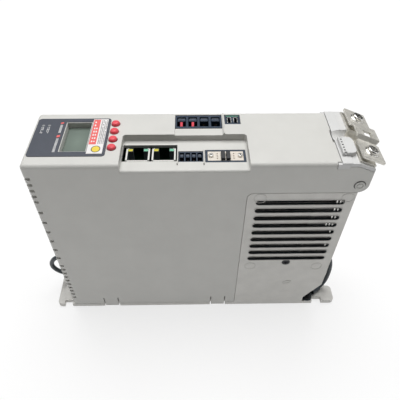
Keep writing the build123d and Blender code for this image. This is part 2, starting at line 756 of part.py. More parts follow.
def make_hood():
    """Five-sided plastic cover, open at the back, with the recessed connector strip along its near edge."""
    profile = [
        (TOP_END, HOOD_FOOT),
        (HOOD_SPLIT, HOOD_FOOT),
        (HOOD_SPLIT, HOOD_SEAM),
        (LOW_END, HOOD_SEAM),
        (LOW_END, FRONT),
        (TOP_END, FRONT),
    ]
    hood = prism(profile, (NEAR, FAR))
    hood = rounded(hood, Axis.Y, END_RADIUS, lambda e: at_corner(e, LOW_END, HOOD_SEAM))
    rims = hood.edges().filter_by(Axis.X).filter_by(lambda e: near_to(e.center().Z, FRONT))
    rims += hood.edges().filter_by(Axis.Y).filter_by(lambda e: at_corner(e, TOP_END, FRONT))
    rims += hood.edges().filter_by(Axis.Z).filter_by(lambda e: near_to(e.center().X, TOP_END))
    hood = fillet(rims, EDGE_RADIUS)
    strip = block(STRIP_X, (NEAR - WALL, STRIP_FAR), (STRIP_Z, FRONT + 1))
    strip = rounded(strip, Axis.Z, STRIP_RADIUS, lambda e: near_to(e.center().Y, STRIP_FAR))
    hood -= strip
    lip = hood.edges().filter_by(Axis.X).filter_by(lambda e: near_to(e.center().Z, STRIP_Z))
    hood = fillet(lip.filter_by(lambda e: near_to(e.center().Y, NEAR)), STRIP_LIP_RADIUS)
    wide = (NEAR + WALL, FAR - WALL)
    low = block((TOP_END + WALL, DUCT_END + SEAM), wide, (0, FRONT - WALL))
    high = block((TOP_END + WALL, LOW_END - WALL), wide, (HOOD_SEAM + WALL, FRONT - WALL))
    inside = low + high
    inside -= block((STRIP_X[0] - WALL, STRIP_X[1] + WALL), (NEAR, STRIP_FAR + WALL), (STRIP_Z - WALL, FRONT))
    hood -= inside
    hood += window_block(COLLAR, (FRONT - WINDOW_DEPTH, FRONT - WALL))
    for post in post_places():
        hood += rod("Z", post, (BOARD_TOP, FRONT - WALL), POST_RADIUS)
    for rib in rib_places():
        hood += rib
    ledge = ((MOTOR_X[0] - CONNECTOR_GAP, MOTOR_X[1] + CONNECTOR_GAP), (STRIP_FAR, MOTOR_Y[0]))
    hood -= block(*ledge, (FRONT - LEDGE_DROP, FRONT))
    hood -= window_block(0, (FRONT - WALL - WINDOW_DEPTH, FRONT))
    for post in post_places():
        hood -= rod("Z", post, span(BOARD_TOP, BOARD_SCREW_REACH), BOARD_SCREW_RADIUS)
    for place in button_places():
        hood -= rod("Z", place, (FRONT - 2 * WALL, FRONT), BUTTON_RADIUS + BUTTON_CLEARANCE)
        hood -= rod("Z", place, (BOARD_TOP, FRONT - WALL), BUTTON_FLANGE_RADIUS + BUTTON_CLEARANCE)
    for place in light_places():
        hood -= rod("Z", place, (FRONT - 2 * WALL, FRONT), LIGHT_RADIUS)
    for zone in connector_zones():
        hood -= block(*zone, (FRONT - 4 * WALL, FRONT + RIB_HEIGHT))
    for opening in end_header_openings():
        hood -= block((TOP_END, TOP_END + WALL), *opening)
    for height in vent_heights():
        opening = about(height, VENT_OPENING)
        hood -= block((TOP_END, TOP_END + WALL), (NEAR, NEAR + VENT_WIDTH), opening)
        hood -= block((TOP_END, TOP_END + VENT_WRAP), (NEAR, NEAR + WALL), opening)
    hole = (SHUNT_LINE_Y, SHUNT_EXIT_HEIGHT)
    hood -= rod("X", hole, (TOP_END, TOP_END + WALL), SHUNT_LEAD_RADIUS + LEAD_HOLE_CLEARANCE)
    hood = cut_latches(hood)
    hood -= rod("Y", (LOW_END - RIVET_IN, DUCT_TOP + RIVET_UP), (NEAR, FAR), RIVET_RADIUS)
    return hood - cap_room()


def rib_places():
    """Low ribs beside the small connectors on the strip and one between the motor and brake headers."""
    y = span(NEAR + RIB_NEAR, RIB_LENGTH)
    io = span(TOP_END + IO_START, IO_LENGTH)
    starts = (io[0] - CONNECTOR_GAP - RIB_THICKNESS, io[1] + CONNECTOR_GAP)
    ribs = [block(span(x, THIN_RIB), y, span(STRIP_Z - RIB_BITE, RIB_HEIGHT)) for x in starts]
    side_x = about((MOTOR_X[1] + BRAKE_X[0]) / 2, RIB_THICKNESS)
    ribs.append(block(side_x, span(STRIP_FAR, SIDE_RIB_WIDTH), span(FRONT - RIB_BITE, RIB_HEIGHT)))
    return ribs


def cut_latches(hood):
    """Slits that free a tongue in each long wall, with a hooked foot that catches the base plate."""
    for x in latch_starts():
        for side in (-1, 1):
            y = sorted((side * FAR, side * (FAR - WALL)))
            for slit in (x, x + LATCH_LENGTH - LATCH_SLIT):
                hood -= block(span(slit, LATCH_SLIT), y, (HOOD_FOOT, LATCH_HEIGHT))
            tongue = (x + LATCH_SLIT, x + LATCH_LENGTH - LATCH_SLIT)
            hood += block(tongue, y, (LATCH_HOOK, HOOD_FOOT))
    return hood


def cap_room():
    """The part of the hood that the cable cap takes, with a seam's gap."""
    roof = [(px, pz - CAP_THICKNESS) for px, pz in cap_roof(0)]
    outline = [(CAP_X, FRONT + 1), *roof, (LOW_END + 1, roof[-1][1]), (LOW_END + 1, FRONT + 1)]
    room = prism(outline, (NEAR, FAR))
    flap = span(cap_roof(0)[-1][1] - CAP_FLAP - SEAM, CAP_FLAP)
    room += block((LOW_END - WALL, LOW_END + 1), about(0, CAP_FLAP_WIDTH + 2 * SEAM), flap)
    tab = span(CAP_X - TAB_BACK - SEAM, TAB_LENGTH + 2 * SEAM)
    for y in ((NEAR, NEAR + WALL), (FAR - WALL, FAR)):
        room += block(tab, y, (FRONT - TAB_DOWN - SEAM, FRONT))
    return room + SLOPE * rod("X", (0, TROUGH_RISE), (-CAP_LENGTH / 2, SLOPE_END), LINER_RADIUS + SEAM)


def make_cable_cap():
    """Sloped cap over the cable end: a proud band, a clamp seat with a half-round trough, and an end flap."""
    roof = cap_roof(0)
    floor = cap_roof(CAP_THICKNESS - SEAM)
    start = CAP_X + SEAM
    outline = [(start, FRONT), *roof[1:], *reversed(floor[1:]), (start, FRONT - CAP_THICKNESS + SEAM)]
    cap = prism(outline, (NEAR, FAR))
    cap += block(span(start, CAP_BAND), (NEAR, FAR), (FRONT - CAP_THICKNESS + SEAM, FRONT + CAP_PROUD))
    cap = rounded(cap, Axis.X, CAP_PROUD * 2, lambda e: near_to(e.center().Z, FRONT + CAP_PROUD))
    flap = (roof[-1][1] - CAP_FLAP, roof[-1][1] - CAP_THICKNESS)
    cap += block((LOW_END - WALL, LOW_END), about(0, CAP_FLAP_WIDTH), flap)
    tab = span(CAP_X - TAB_BACK, TAB_LENGTH)
    for y in ((NEAR - CAP_PROUD / 2, NEAR + WALL - SEAM), (FAR - WALL + SEAM, FAR + CAP_PROUD / 2)):
        cap += block(tab, y, (FRONT - TAB_DOWN, FRONT - CAP_PROUD))
    liner = SLOPE * rod("X", (0, TROUGH_RISE), (-CAP_LENGTH / 2, SLOPE_END), LINER_RADIUS)
    skin = cap_roof(CAP_THICKNESS / 2)
    below = [(start, skin[0][1]), *skin[1:], (LOW_END, 0), (start, 0)]
    cap += liner & prism(below, (NEAR, FAR))
    cap -= SLOPE * rod("X", (0, TROUGH_RISE), (-CAP_LENGTH / 2, CLAMP_LENGTH), TROUGH_RADIUS)
    for side in (-1, 1):
        boss = (SCREW_X, side * CLAMP_SCREW_PITCH / 2)
        cap -= SLOPE * rod("Z", boss, (-3 * BOSS_DEPTH, 1), BOSS_RADIUS + SEAM)
        cap -= leg(side, SEAM)
    return cap


def leg(side, gap):
    """A bracket leg, or the slot for one, from the heatsink's top up through the cap."""
    x = (SLOPE_X + LEG_LENGTH - gap, SLOPE_X + 2 * LEG_LENGTH + gap)
    y = sorted((side * (LEG_OUT - gap), side * (LEG_OUT + LEG_WIDTH + gap)))
    return block(x, y, (DUCT_TOP, FRONT - LEG_LENGTH / 2))


def make_snap_rivets():
    """Two push rivets that pin the hood to the chassis lugs."""
    middle = (LOW_END - RIVET_IN, DUCT_TOP + RIVET_UP)
    rivets = []
    for side in (-1, 1):
        shank = sorted((side * (FAR - WALL - SEAM - LUG_THICKNESS), side * FAR))
        head = sorted((side * FAR, side * (FAR + RIVET_HEAD)))
        rivet = rod("Y", middle, shank, RIVET_RADIUS) + rod("Y", middle, head, RIVET_HEAD_RADIUS)
        groove = sorted((side * (FAR + RIVET_HEAD / 2), side * (FAR + RIVET_HEAD)))
        ring = rod("Y", middle, groove, RIVET_RADIUS) - rod("Y", middle, groove, RIVET_RADIUS * 0.75)
        rivets.append(rivet - ring)
    return rivets


# ---------------------------------------------------------------- front panel pieces

def make_display_overlay():
    """Thin overlay with a window for the display and a clipped corner beside the buttons."""
    x, y = span(TOP_END + OVERLAY_START, OVERLAY_LENGTH), span(NEAR + OVERLAY_NEAR, OVERLAY_WIDTH)
    z = span(FRONT, OVERLAY_THICKNESS)
    sheet = fillet(block(x, y, z).edges().filter_by(Axis.Z), OVERLAY_RADIUS)
    sheet -= window_block(OVERLAY_GAP, z)
    for place in light_places():
        sheet -= rod("Z", place, z, LIGHT_RADIUS)
    return sheet


def make_info_label():
    """Printed label on the overlay, beside the window."""
    x, y = span(TOP_END + LABEL_START, LABEL_LENGTH), span(NEAR + LABEL_NEAR, LABEL_WIDTH)
    return block(x, y, span(FRONT + OVERLAY_THICKNESS, LABEL_THICKNESS))


def make_lcd_glass():
    return window_block(COLLAR, (FRONT - WINDOW_DEPTH - GLASS_THICKNESS, FRONT - WINDOW_DEPTH))


def make_lcd_module():
    """Metal-framed backlight box on the control board."""
    box = window_block(COLLAR, (BOARD_TOP, FRONT - WINDOW_DEPTH - GLASS_THICKNESS))
    return fillet(box.edges().filter_by(Axis.Z), COLLAR / 2)


def make_button(place):
    """Domed key with a flange that keeps it in and a stem down to its switch."""
    flange_top = FRONT - WALL - BUTTON_CLEARANCE
    cap = rod("Z", place, (flange_top - BUTTON_FLANGE, FRONT + BUTTON_HEIGHT), BUTTON_RADIUS)
    cap = fillet(cap.edges().sort_by(Axis.Z)[-1], BUTTON_HEIGHT * 0.75)
    cap += rod("Z", place, (flange_top - BUTTON_FLANGE, flange_top), BUTTON_FLANGE_RADIUS)
    foot = BOARD_TOP + SWITCH_HEIGHT - BUTTON_TRAVEL
    return cap + rod("Z", place, (foot, flange_top - BUTTON_FLANGE), BUTTON_STEM_RADIUS)


def make_button_switches():
    """Momentary switch bodies, each with a well for its button's stem."""
    switches = []
    for x, y in button_places():
        switch = block(about(x, SWITCH_SIZE), about(y, SWITCH_SIZE), span(BOARD_TOP, SWITCH_HEIGHT))
        well = (BOARD_TOP + SWITCH_HEIGHT - SWITCH_WELL_DEPTH, BOARD_TOP + SWITCH_HEIGHT)
        switches.append(switch - rod("Z", (x, y), well, SWITCH_WELL_RADIUS))
    return switches


def make_light_pipes():
    return [rod("Z", place, (BOARD_TOP, FRONT + OVERLAY_THICKNESS), LIGHT_RADIUS) for place in light_places()]


# ---------------------------------------------------------------- connectors on the front

def jack_cavity(x):
    """Mouth of a modular jack: the plug's room and its clip's room."""
    top = FRONT - STRIP_DEPTH - JACK_RECESS
    low = NEAR + JACK_NEAR + PLUG_IN
    depth = (top - PLUG_DEPTH, top)
    middle = (x[0] + x[1]) / 2
    room = block(about(middle, PLUG_LENGTH), span(low, PLUG_WIDTH), depth)
    return room + block(about(middle, CLIP_LENGTH), span(low + PLUG_WIDTH, CLIP_WIDTH), depth)


def led_rooms(x, side):
    """Light window of a jack, beside the clip."""
    top = FRONT - STRIP_DEPTH - JACK_RECESS
    low = NEAR + JACK_NEAR + PLUG_IN + PLUG_WIDTH + 0.2
    middle = (x[0] + x[1]) / 2 + side * LED_OUT
    return block(about(middle, LED_LENGTH), span(low, LED_WIDTH), (top - LED_DEPTH, top))


def make_jack(x):
    """Upright modular network jack."""
    top = FRONT - STRIP_DEPTH - JACK_RECESS
    jack = block(x, span(NEAR + JACK_NEAR, JACK_WIDTH), (BOARD_TOP, top))
    jack -= jack_cavity(x)
    for side in (-1, 1):
        jack -= led_rooms(x, side)
    return jack


def make_jack_contacts():
    """Spring contacts along the near wall of each jack's mouth."""
    contacts = []
    top = FRONT - STRIP_DEPTH - JACK_RECESS
    low = NEAR + JACK_NEAR + PLUG_IN
    for x in JACK_X:
        first = (x[0] + x[1]) / 2 - (CONTACT_COUNT - 1) / 2 * CONTACT_PITCH
        for index in range(CONTACT_COUNT):
            middle = first + index * CONTACT_PITCH
            depth = (top - PLUG_DEPTH, top - PLUG_DEPTH / 3)
            contacts.append(block(about(middle, CONTACT_THICKNESS), span(low, CONTACT_THICKNESS), depth))
    return contacts


def poles(start, length, count, pitch):
    """Middles of the poles of a header, centred on its length."""
    first = start + length / 2 - (count - 1) / 2 * pitch
    return [first + index * pitch for index in range(count)]


def make_header(x, y, top, pole_xs, pitch, rim):
    """Upright pin header with one deep cavity for each pole."""
    header = block(x, y, (BOARD_TOP, top))
    for middle in pole_xs:
        cavity = (about(middle, pitch - rim), (y[0] + rim, y[1] - rim))
        header -= block(*cavity, (top - HEADER_DEPTH, top))
    return header


def pins(xs, y, top, size):
    """Square contact pins standing on the floor of a header's cavities."""
    floor = top - HEADER_DEPTH
    return [block(about(x, size), about(y, size), (floor, top - PIN_DOWN)) for x in xs]


def io_poles():
    return poles(TOP_END + IO_START, IO_LENGTH, IO_POLES, IO_PITCH)


def make_io_header():
    x, y = span(TOP_END + IO_START, IO_LENGTH), span(NEAR + IO_NEAR, IO_WIDTH)
    return make_header(x, y, STRIP_Z - JACK_RECESS, io_poles(), IO_PITCH, IO_RIM)


def make_motor_header():
    return make_header(MOTOR_X, MOTOR_Y, FRONT - HEADER_RECESS, motor_poles(), MOTOR_PITCH, 2 * MOTOR_RIM)


def motor_poles():
    return poles(MOTOR_X[0], MOTOR_LENGTH, MOTOR_POLES, MOTOR_PITCH)


def brake_poles():
    return poles(BRAKE_X[0], BRAKE_LENGTH, BRAKE_POLES, BRAKE_PITCH)


def make_brake_header():
    return make_header(BRAKE_X, BRAKE_Y, FRONT - HEADER_RECESS, brake_poles(), BRAKE_PITCH, 2 * IO_RIM)


def make_coding_keys():
    """Keys pushed into the near side of the first poles."""
    low = MOTOR_Y[0] + 2 * MOTOR_RIM
    top = FRONT - HEADER_RECESS
    keyed = motor_poles()[:KEY_COUNT]
    return [block(about(x, KEY_THICKNESS), span(low, KEY_WIDTH), (top - KEY_DEPTH, top)) for x in keyed]


def make_connector_pins():
    """All contact pins of the open headers, front and top end."""
    strip_top = STRIP_Z - JACK_RECESS
    front_top = FRONT - HEADER_RECESS
    all_pins = pins(io_poles(), NEAR + IO_NEAR + IO_WIDTH / 2, strip_top, PIN_SIZE)
    all_pins += pins(motor_poles(), (MOTOR_Y[0] + MOTOR_Y[1]) / 2 + KEY_WIDTH / 2, front_top, POWER_PIN)
    all_pins += pins(brake_poles(), (BRAKE_Y[0] + BRAKE_Y[1]) / 2, front_top, PIN_SIZE)
    for y, heights, pitch in end_header_layout().values():
        middle = (y[0] + y[1]) / 2
        for height in heights:
            depth = (TOP_END + END_HEADER_DEPTH / 3, TOP_END + END_HEADER_DEPTH - END_HEADER_RIM)
            all_pins.append(block(depth, about(middle, PIN_SIZE), about(height, PIN_SIZE)))
    for y in safety_poles():
        depth = (TOP_END + END_HEADER_DEPTH / 3, TOP_END + END_HEADER_DEPTH - END_HEADER_RIM)
        all_pins.append(block(depth, about(y, PIN_SIZE), about(BOARD_TOP + SAFETY_HEIGHT / 2, PIN_SIZE)))
    return all_pins


def feedback_box():
    return span(TOP_END + FEEDBACK_START, FEEDBACK_LENGTH), span(NEAR + FEEDBACK_NEAR, FEEDBACK_WIDTH)


def make_feedback_frame():
    """Dark housing of the feedback connector with a recess for its face plate."""
    x, y = feedback_box()
    top = STRIP_Z
    frame = block(x, y, (BOARD_TOP, top))
    inner = [(low + FEEDBACK_RIM, high - FEEDBACK_RIM) for low, high in (x, y)]
    return frame - block(*inner, (top - FEEDBACK_PLATE, top))


def make_feedback_plate():
    """Light face plate with two screw holes, two post windows and pin holes."""
    x, y = feedback_box()
    inner = [(low + FEEDBACK_RIM + FEEDBACK_GAP, high - FEEDBACK_RIM - FEEDBACK_GAP) for low, high in (x, y)]
    plate = block(*inner, (STRIP_Z - FEEDBACK_PLATE, STRIP_Z))
    for place in feedback_screw_places():
        plate -= rod("Z", place, (STRIP_Z - FEEDBACK_PLATE, STRIP_Z), FEEDBACK_SCREW_RADIUS * 0.6)
    for post in feedback_post_boxes(CLOSE_CLEARANCE):
        plate -= post
    middle = ((x[0] + x[1]) / 2, (y[0] + y[1]) / 2)
    for side in (-1, 1):
        for row in (-1, 0, 1):
            pin = (middle[0] + side * FEEDBACK_HOLE_OUT, middle[1] + row * FEEDBACK_HOLE_PITCH)
            plate -= rod("Z", pin, (STRIP_Z - FEEDBACK_PLATE / 2, STRIP_Z), FEEDBACK_HOLE_RADIUS)
    return plate


def feedback_screw_places():
    x, y = feedback_box()
    middle = ((x[0] + x[1]) / 2, (y[0] + y[1]) / 2)
    return [(middle[0] + side * FEEDBACK_SCREW_PITCH / 2, middle[1]) for side in (-1, 1)]


def feedback_post_boxes(gap):
    x, y = feedback_box()
    middle = (x[0] + x[1]) / 2
    wide = (y[0] + FEEDBACK_RIM + FEEDBACK_POST_NEAR - gap, y[1] - FEEDBACK_RIM - FEEDBACK_POST_FAR + gap)
    tall = (STRIP_Z - FEEDBACK_PLATE, STRIP_Z + FEEDBACK_POST_HEIGHT)
    length = FEEDBACK_POST_LENGTH + 2 * gap
    return [block(about(middle + side * FEEDBACK_POST_PITCH / 2, length), wide, tall) for side in (-1, 1)]


def make_feedback_screws():
    """Two jack screws with a hexagonal socket each."""
    screws = []
    for place in feedback_screw_places():
        head = rod("Z", place, (STRIP_Z, STRIP_Z + FEEDBACK_SCREW_RADIUS), FEEDBACK_SCREW_RADIUS)
        head = fillet(head.edges().sort_by(Axis.Z)[-1], 0.4)
        head += rod("Z", place, (STRIP_Z - FEEDBACK_PLATE, STRIP_Z), FEEDBACK_SCREW_RADIUS * 0.6)
        socket = extrude(RegularPolygon(FEEDBACK_SCREW_RADIUS * 0.5, 6), amount=1)
        screws.append(head - Pos(place[0], place[1], STRIP_Z + FEEDBACK_SCREW_RADIUS / 2) * socket)
    return screws


# ---------------------------------------------------------------- boards and power parts

def make_control_board():
    x = (TOP_END + WALL + BOARD_MARGIN, LOW_END - BOARD_END_IN)
    board = block(x, (NEAR + WALL + BOARD_MARGIN, FAR - WALL - BOARD_MARGIN), (BOARD_LOW, BOARD_TOP))
    for post in post_places():
        board -= rod("Z", post, (BOARD_LOW, BOARD_TOP), BOARD_SCREW_RADIUS)
    return board


def make_board_screws():
    """Screws of both boards: four up into the hood's posts, four into the side plate's standoffs."""
    sizes = (BOARD_SCREW_RADIUS, BOARD_SCREW_HEAD, BOARD_SCREW_REACH)
    up = [screw("Z", post, BOARD_LOW, -1, *sizes) for post in post_places()]
    return up + [screw("Y", place, POWER_BOARD_NEAR, -1, *sizes) for place in standoff_places()]


def standoff_places():
    xs = (POWER_BOARD_X[0] + STANDOFF_INSET, POWER_BOARD_X[1] - STANDOFF_INSET)
    zs = (POWER_BOARD_LOW + STANDOFF_INSET, SIDE_PLATE_HEIGHT - STANDOFF_INSET)
    return [(x, z) for x in xs for z in zs]


def make_standoffs():
    """Round spacers between the side plate and the power board."""
    standoffs = []
    for place in standoff_places():
        spacer = rod("Y", place, (POWER_BOARD_FAR, SIDE_PLATE_NEAR), STANDOFF_RADIUS)
        hole = (POWER_BOARD_FAR, POWER_BOARD_NEAR + BOARD_SCREW_REACH)
        standoffs.append(spacer - rod("Y", place, hole, BOARD_SCREW_RADIUS))
    return standoffs


def make_power_board():
    board = block(POWER_BOARD_X, (POWER_BOARD_NEAR, POWER_BOARD_FAR), (POWER_BOARD_LOW, POWER_BOARD_HIGH))
    for place in standoff_places():
        board -= rod("Y", place, (POWER_BOARD_NEAR, POWER_BOARD_FAR), BOARD_SCREW_RADIUS)
    return board


def make_board_connector():
    """Board-to-board connector from the power board's upper edge to the control board."""
    middle = (POWER_BOARD_X[0] + POWER_BOARD_X[1]) / 2
    y = (POWER_BOARD_NEAR - BOARD_THICKNESS, POWER_BOARD_FAR + BOARD_THICKNESS)
    return block(about(middle, BOARD_CONNECTOR_LENGTH), y, (POWER_BOARD_HIGH, BOARD_LOW))


def make_capacitors():
    """Row of electrolytic cans on the power board, each with a rolled groove near its base."""
    cans = []
    for index in range(CAPACITOR_COUNT):
        x = TOP_END + CAPACITOR_OUT + index * CAPACITOR_PITCH
        y = (POWER_BOARD_NEAR - CAPACITOR_LENGTH, POWER_BOARD_NEAR)
        can = rod("Y", (x, CAPACITOR_HEIGHT), y, CAPACITOR_RADIUS)
        can = fillet(can.edges().sort_by(Axis.Y)[0], CAPACITOR_EDGE)
        groove = span(POWER_BOARD_NEAR - GROOVE_UP, GROOVE_WIDTH)
        ring = rod("Y", (x, CAPACITOR_HEIGHT), groove, CAPACITOR_RADIUS + GROOVE_DEPTH)
        ring -= rod("Y", (x, CAPACITOR_HEIGHT), groove, CAPACITOR_RADIUS - GROOVE_DEPTH)
        cans.append(can - ring)
    return cans


def make_power_module():
    """Transistor module pressed on the spreader through its thermal pad."""
    end = DUCT_START - PAD_THICKNESS
    y = (POWER_BOARD_NEAR - MODULE_GAP - MODULE_WIDTH, POWER_BOARD_NEAR - MODULE_GAP)
    return block((end - MODULE_THICKNESS, end), y, about(MODULE_HEIGHT, MODULE_LENGTH))


def make_thermal_pad():
    y = (POWER_BOARD_NEAR - MODULE_GAP - MODULE_WIDTH, POWER_BOARD_NEAR - MODULE_GAP)
    return block((DUCT_START - PAD_THICKNESS, DUCT_START), y, about(MODULE_HEIGHT, MODULE_LENGTH))


def make_choke():
    """Ring core of the mains filter."""
    middle = (TOP_END + CHOKE_OUT, CHOKE_HEIGHT)
    y = (POWER_BOARD_NEAR - CHOKE_LENGTH, POWER_BOARD_NEAR)
    return rod("Y", middle, y, CHOKE_RADIUS) - rod("Y", middle, y, CHOKE_HOLE)


def make_transformer():
    """Small supply transformer, with its core's corners cut off."""
    x, z = about(TOP_END + TRANSFORMER_OUT, TRANSFORMER_SIZE), about(TRANSFORMER_HEIGHT, TRANSFORMER_SIZE)
    core = block(x, (POWER_BOARD_NEAR - TRANSFORMER_SIZE, POWER_BOARD_NEAR), z)
    return chamfer(core.edges().filter_by(Axis.Y), TRANSFORMER_EDGE)


def make_relay():
    x, z = about(TOP_END + RELAY_OUT, RELAY_LENGTH), about(RELAY_HEIGHT, RELAY_THICKNESS)
    box = block(x, (POWER_BOARD_NEAR - RELAY_WIDTH, POWER_BOARD_NEAR), z)
    return fillet(box.edges().filter_by(Axis.Y), RELAY_EDGE)


def make_shunt_resistor():
    """Metal-cased braking resistor with ribs, on the base plate."""
    x = span(TOP_END + SHUNT_START, SHUNT_LENGTH)
    y = about(SHUNT_LINE_Y, SHUNT_WIDTH)
    top = PLATE_THICKNESS + SHUNT_HEIGHT
    case = block(x, y, (PLATE_THICKNESS, top))
    pitch = SHUNT_WIDTH / SHUNT_GROOVES
    for index in range(SHUNT_GROOVES):
        groove = about(y[0] + (index + 0.5) * pitch, SHUNT_GROOVE_WIDTH)
        case -= block(x, groove, (top - SHUNT_GROOVE_DEPTH, top))
    gland = (SHUNT_ROUTE[-1][0], x[0])
    return case + rod("X", (SHUNT_LINE_Y, SHUNT_EXIT_HEIGHT), gland, SHUNT_LEAD_RADIUS + GLAND_WALL)


# ---------------------------------------------------------------- headers on the top end

def end_header_layout():
    """Side-on headers on the power board: width stretch, pole heights and pitch of each."""
    y = (POWER_BOARD_NEAR - END_HEADER_WIDTH, POWER_BOARD_NEAR)
    return {
        "mains_header": (y, poles(MAINS_HEIGHT, 0, 3, END_POWER_PITCH), END_POWER_PITCH),
        "bus_header": (y, poles(BUS_HEIGHT, 0, 3, END_POWER_PITCH), END_POWER_PITCH),
        "supply_header": (y, poles(SUPPLY_HEIGHT, 0, 2, END_SIGNAL_PITCH), END_SIGNAL_PITCH),
    }


def safety_poles():
    return poles(NEAR + SAFETY_NEAR, SAFETY_WIDTH, SAFETY_POLES, SAFETY_PITCH)


def header_height(heights, pitch):
    return heights[0] - pitch / 2 - END_HEADER_RIM, heights[-1] + pitch / 2 + END_HEADER_RIM


def make_end_header(y, heights, pitch):
    """Header with its cavities open towards the top end."""
    x = (TOP_END + END_HEADER_RECESS, TOP_END + END_HEADER_DEPTH)
    header = block(x, y, header_height(heights, pitch))
    for height in heights:
        cavity = ((y[0] + END_HEADER_RIM, y[1] - END_HEADER_RIM), about(height, pitch - END_HEADER_RIM))
        header -= block((x[0], x[1] - END_HEADER_RIM), *cavity)
    return header


def make_safety_header():
    """Signal header on the control board, open towards the top end."""
    x = (TOP_END + END_HEADER_RECESS, TOP_END + END_HEADER_DEPTH)
    z = span(BOARD_TOP, SAFETY_HEIGHT)
    header = block(x, span(NEAR + SAFETY_NEAR, SAFETY_WIDTH), z)
    for y in safety_poles():
        wide = about(y, SAFETY_PITCH - END_HEADER_RIM)
        header -= block((x[0], x[1] - END_HEADER_RIM), wide, (z[0] + END_HEADER_RIM, z[1] - END_HEADER_RIM))
    return header


def shunt_header_box():
    y = (SHUNT_LINE_Y - END_HEADER_WIDTH / 2, POWER_BOARD_NEAR)
    return y, about(SHUNT_PLUG_HEIGHT, END_SIGNAL_PITCH * 2 + END_HEADER_RIM)


def make_shunt_header():
    """Header that takes the shunt lead's plug."""
    y, z = shunt_header_box()
    x = (TOP_END + END_HEADER_RECESS, TOP_END + END_HEADER_DEPTH)
    inner = ((y[0] + END_HEADER_RIM, y[1] - END_HEADER_RIM), (z[0] + END_HEADER_RIM, z[1] - END_HEADER_RIM))
    return block(x, y, z) - block((x[0], x[1] - END_HEADER_RIM), *inner)


def make_shunt_plug():
    """Plug on the shunt lead's upper end, seated in its header."""
    y, z = shunt_header_box()
    gap = END_HEADER_RIM + PLUG_CLEARANCE
    x = (TOP_END - PLUG_PROUD, TOP_END + END_HEADER_DEPTH - 2 * END_HEADER_RIM)
    return block(x, (y[0] + gap, y[1] - gap), (z[0] + gap, z[1] - gap))


def end_header_openings():
    """Openings in the hood's end wall, as stretches along Y and Z."""
    openings = [(y, header_height(heights, pitch)) for y, heights, pitch in end_header_layout().values()]
    openings.append((span(NEAR + SAFETY_NEAR, SAFETY_WIDTH), span(BOARD_TOP, SAFETY_HEIGHT)))
    openings.append(shunt_header_box())
    return [[(low - CONNECTOR_GAP, high + CONNECTOR_GAP) for low, high in opening] for opening in openings]


# ---------------------------------------------------------------- cable clamp

def make_clamp_bracket():
    """Grounding plate on the sloped seat, with a half-round liner, two threaded bosses and two legs."""
    plate = block((0, BRACKET_LENGTH), about(0, CLAMP_WIDTH), (0, BRACKET_THICKNESS))
    liner_radius = TROUGH_RADIUS - CLOSE_CLEARANCE
    liner = rod("X", (0, TROUGH_RISE), (0, BRACKET_LENGTH), liner_radius)
    plate += liner & block((0, BRACKET_LENGTH), about(0, BIG), (-BIG, BRACKET_THICKNESS))
    for side in (-1, 1):
        boss = (SCREW_X, side * CLAMP_SCREW_PITCH / 2)
        plate += rod("Z", boss, (-BOSS_DEPTH, BRACKET_THICKNESS / 2), BOSS_RADIUS)
    plate -= rod("X", (0, TROUGH_RISE), (0, BRACKET_LENGTH), liner_radius - LINER_THICKNESS)
    for side in (-1, 1):
        hole = CLAMP_SCREW_RADIUS + CLAMP_THREAD_CLEARANCE
        plate -= rod("Z", (SCREW_X, side * CLAMP_SCREW_PITCH / 2), (-BOSS_DEPTH, BRACKET_THICKNESS), hole)
    bracket = SLOPE * plate
    under = SLOPE * block((-BIG / 2, BIG / 2), about(0, BIG), (BRACKET_THICKNESS / 2, BIG))
    for side in (-1, 1):
        bracket += leg(side, 0) - under
    return bracket


def arch(skin, top):
    """Bridge of the clamp plate as a solid: a skin outside the arch's inner width, up to a height."""
    foot, head = ARCH_WIDTH / 2 + skin, ARCH_WIDTH / 2 - ARCH_RAMP + skin
    points = [(-foot, CLAMP_LOW), (-head, top), (head, top), (foot, CLAMP_LOW)]
    outline = make_face(Polyline(*[(0, y, z) for y, z in points], close=True))
    return extrude(outline, amount=CLAMP_LENGTH, dir=(1, 0, 0))


def make_clamp_plate():
    """Pressed plate with a bridge over the cable, a window in the bridge and two screw holes."""
    flat = block((0, CLAMP_LENGTH), about(0, CLAMP_WIDTH), (CLAMP_LOW, CLAMP_HIGH))
    plate = flat + arch(ARCH_SKIN, CLAMP_HIGH + ARCH_RISE) - arch(0, CLAMP_LOW + ARCH_RISE)
    window_room = (CLAMP_LOW, CLAMP_HIGH + 2 * ARCH_RISE)
    opening = (about(CLAMP_LENGTH / 2, ARCH_WINDOW_LENGTH), about(ARCH_WINDOW_Y, ARCH_WINDOW_WIDTH))
    plate -= block(*opening, window_room)
    for x in (0, CLAMP_LENGTH):
        plate -= rod("Z", (x, -ARCH_WIDTH / 2), window_room, NOTCH_RADIUS)
    for side in (-1, 1):
        hole = CLAMP_SCREW_RADIUS + CLAMP_HOLE_CLEARANCE
        plate -= rod("Z", (SCREW_X, side * CLAMP_SCREW_PITCH / 2), window_room, hole)
    plate = rounded(plate, Axis.Z, PLATE_CORNER, lambda e: near_to(abs(e.center().Y), CLAMP_WIDTH / 2))
    return SLOPE * plate


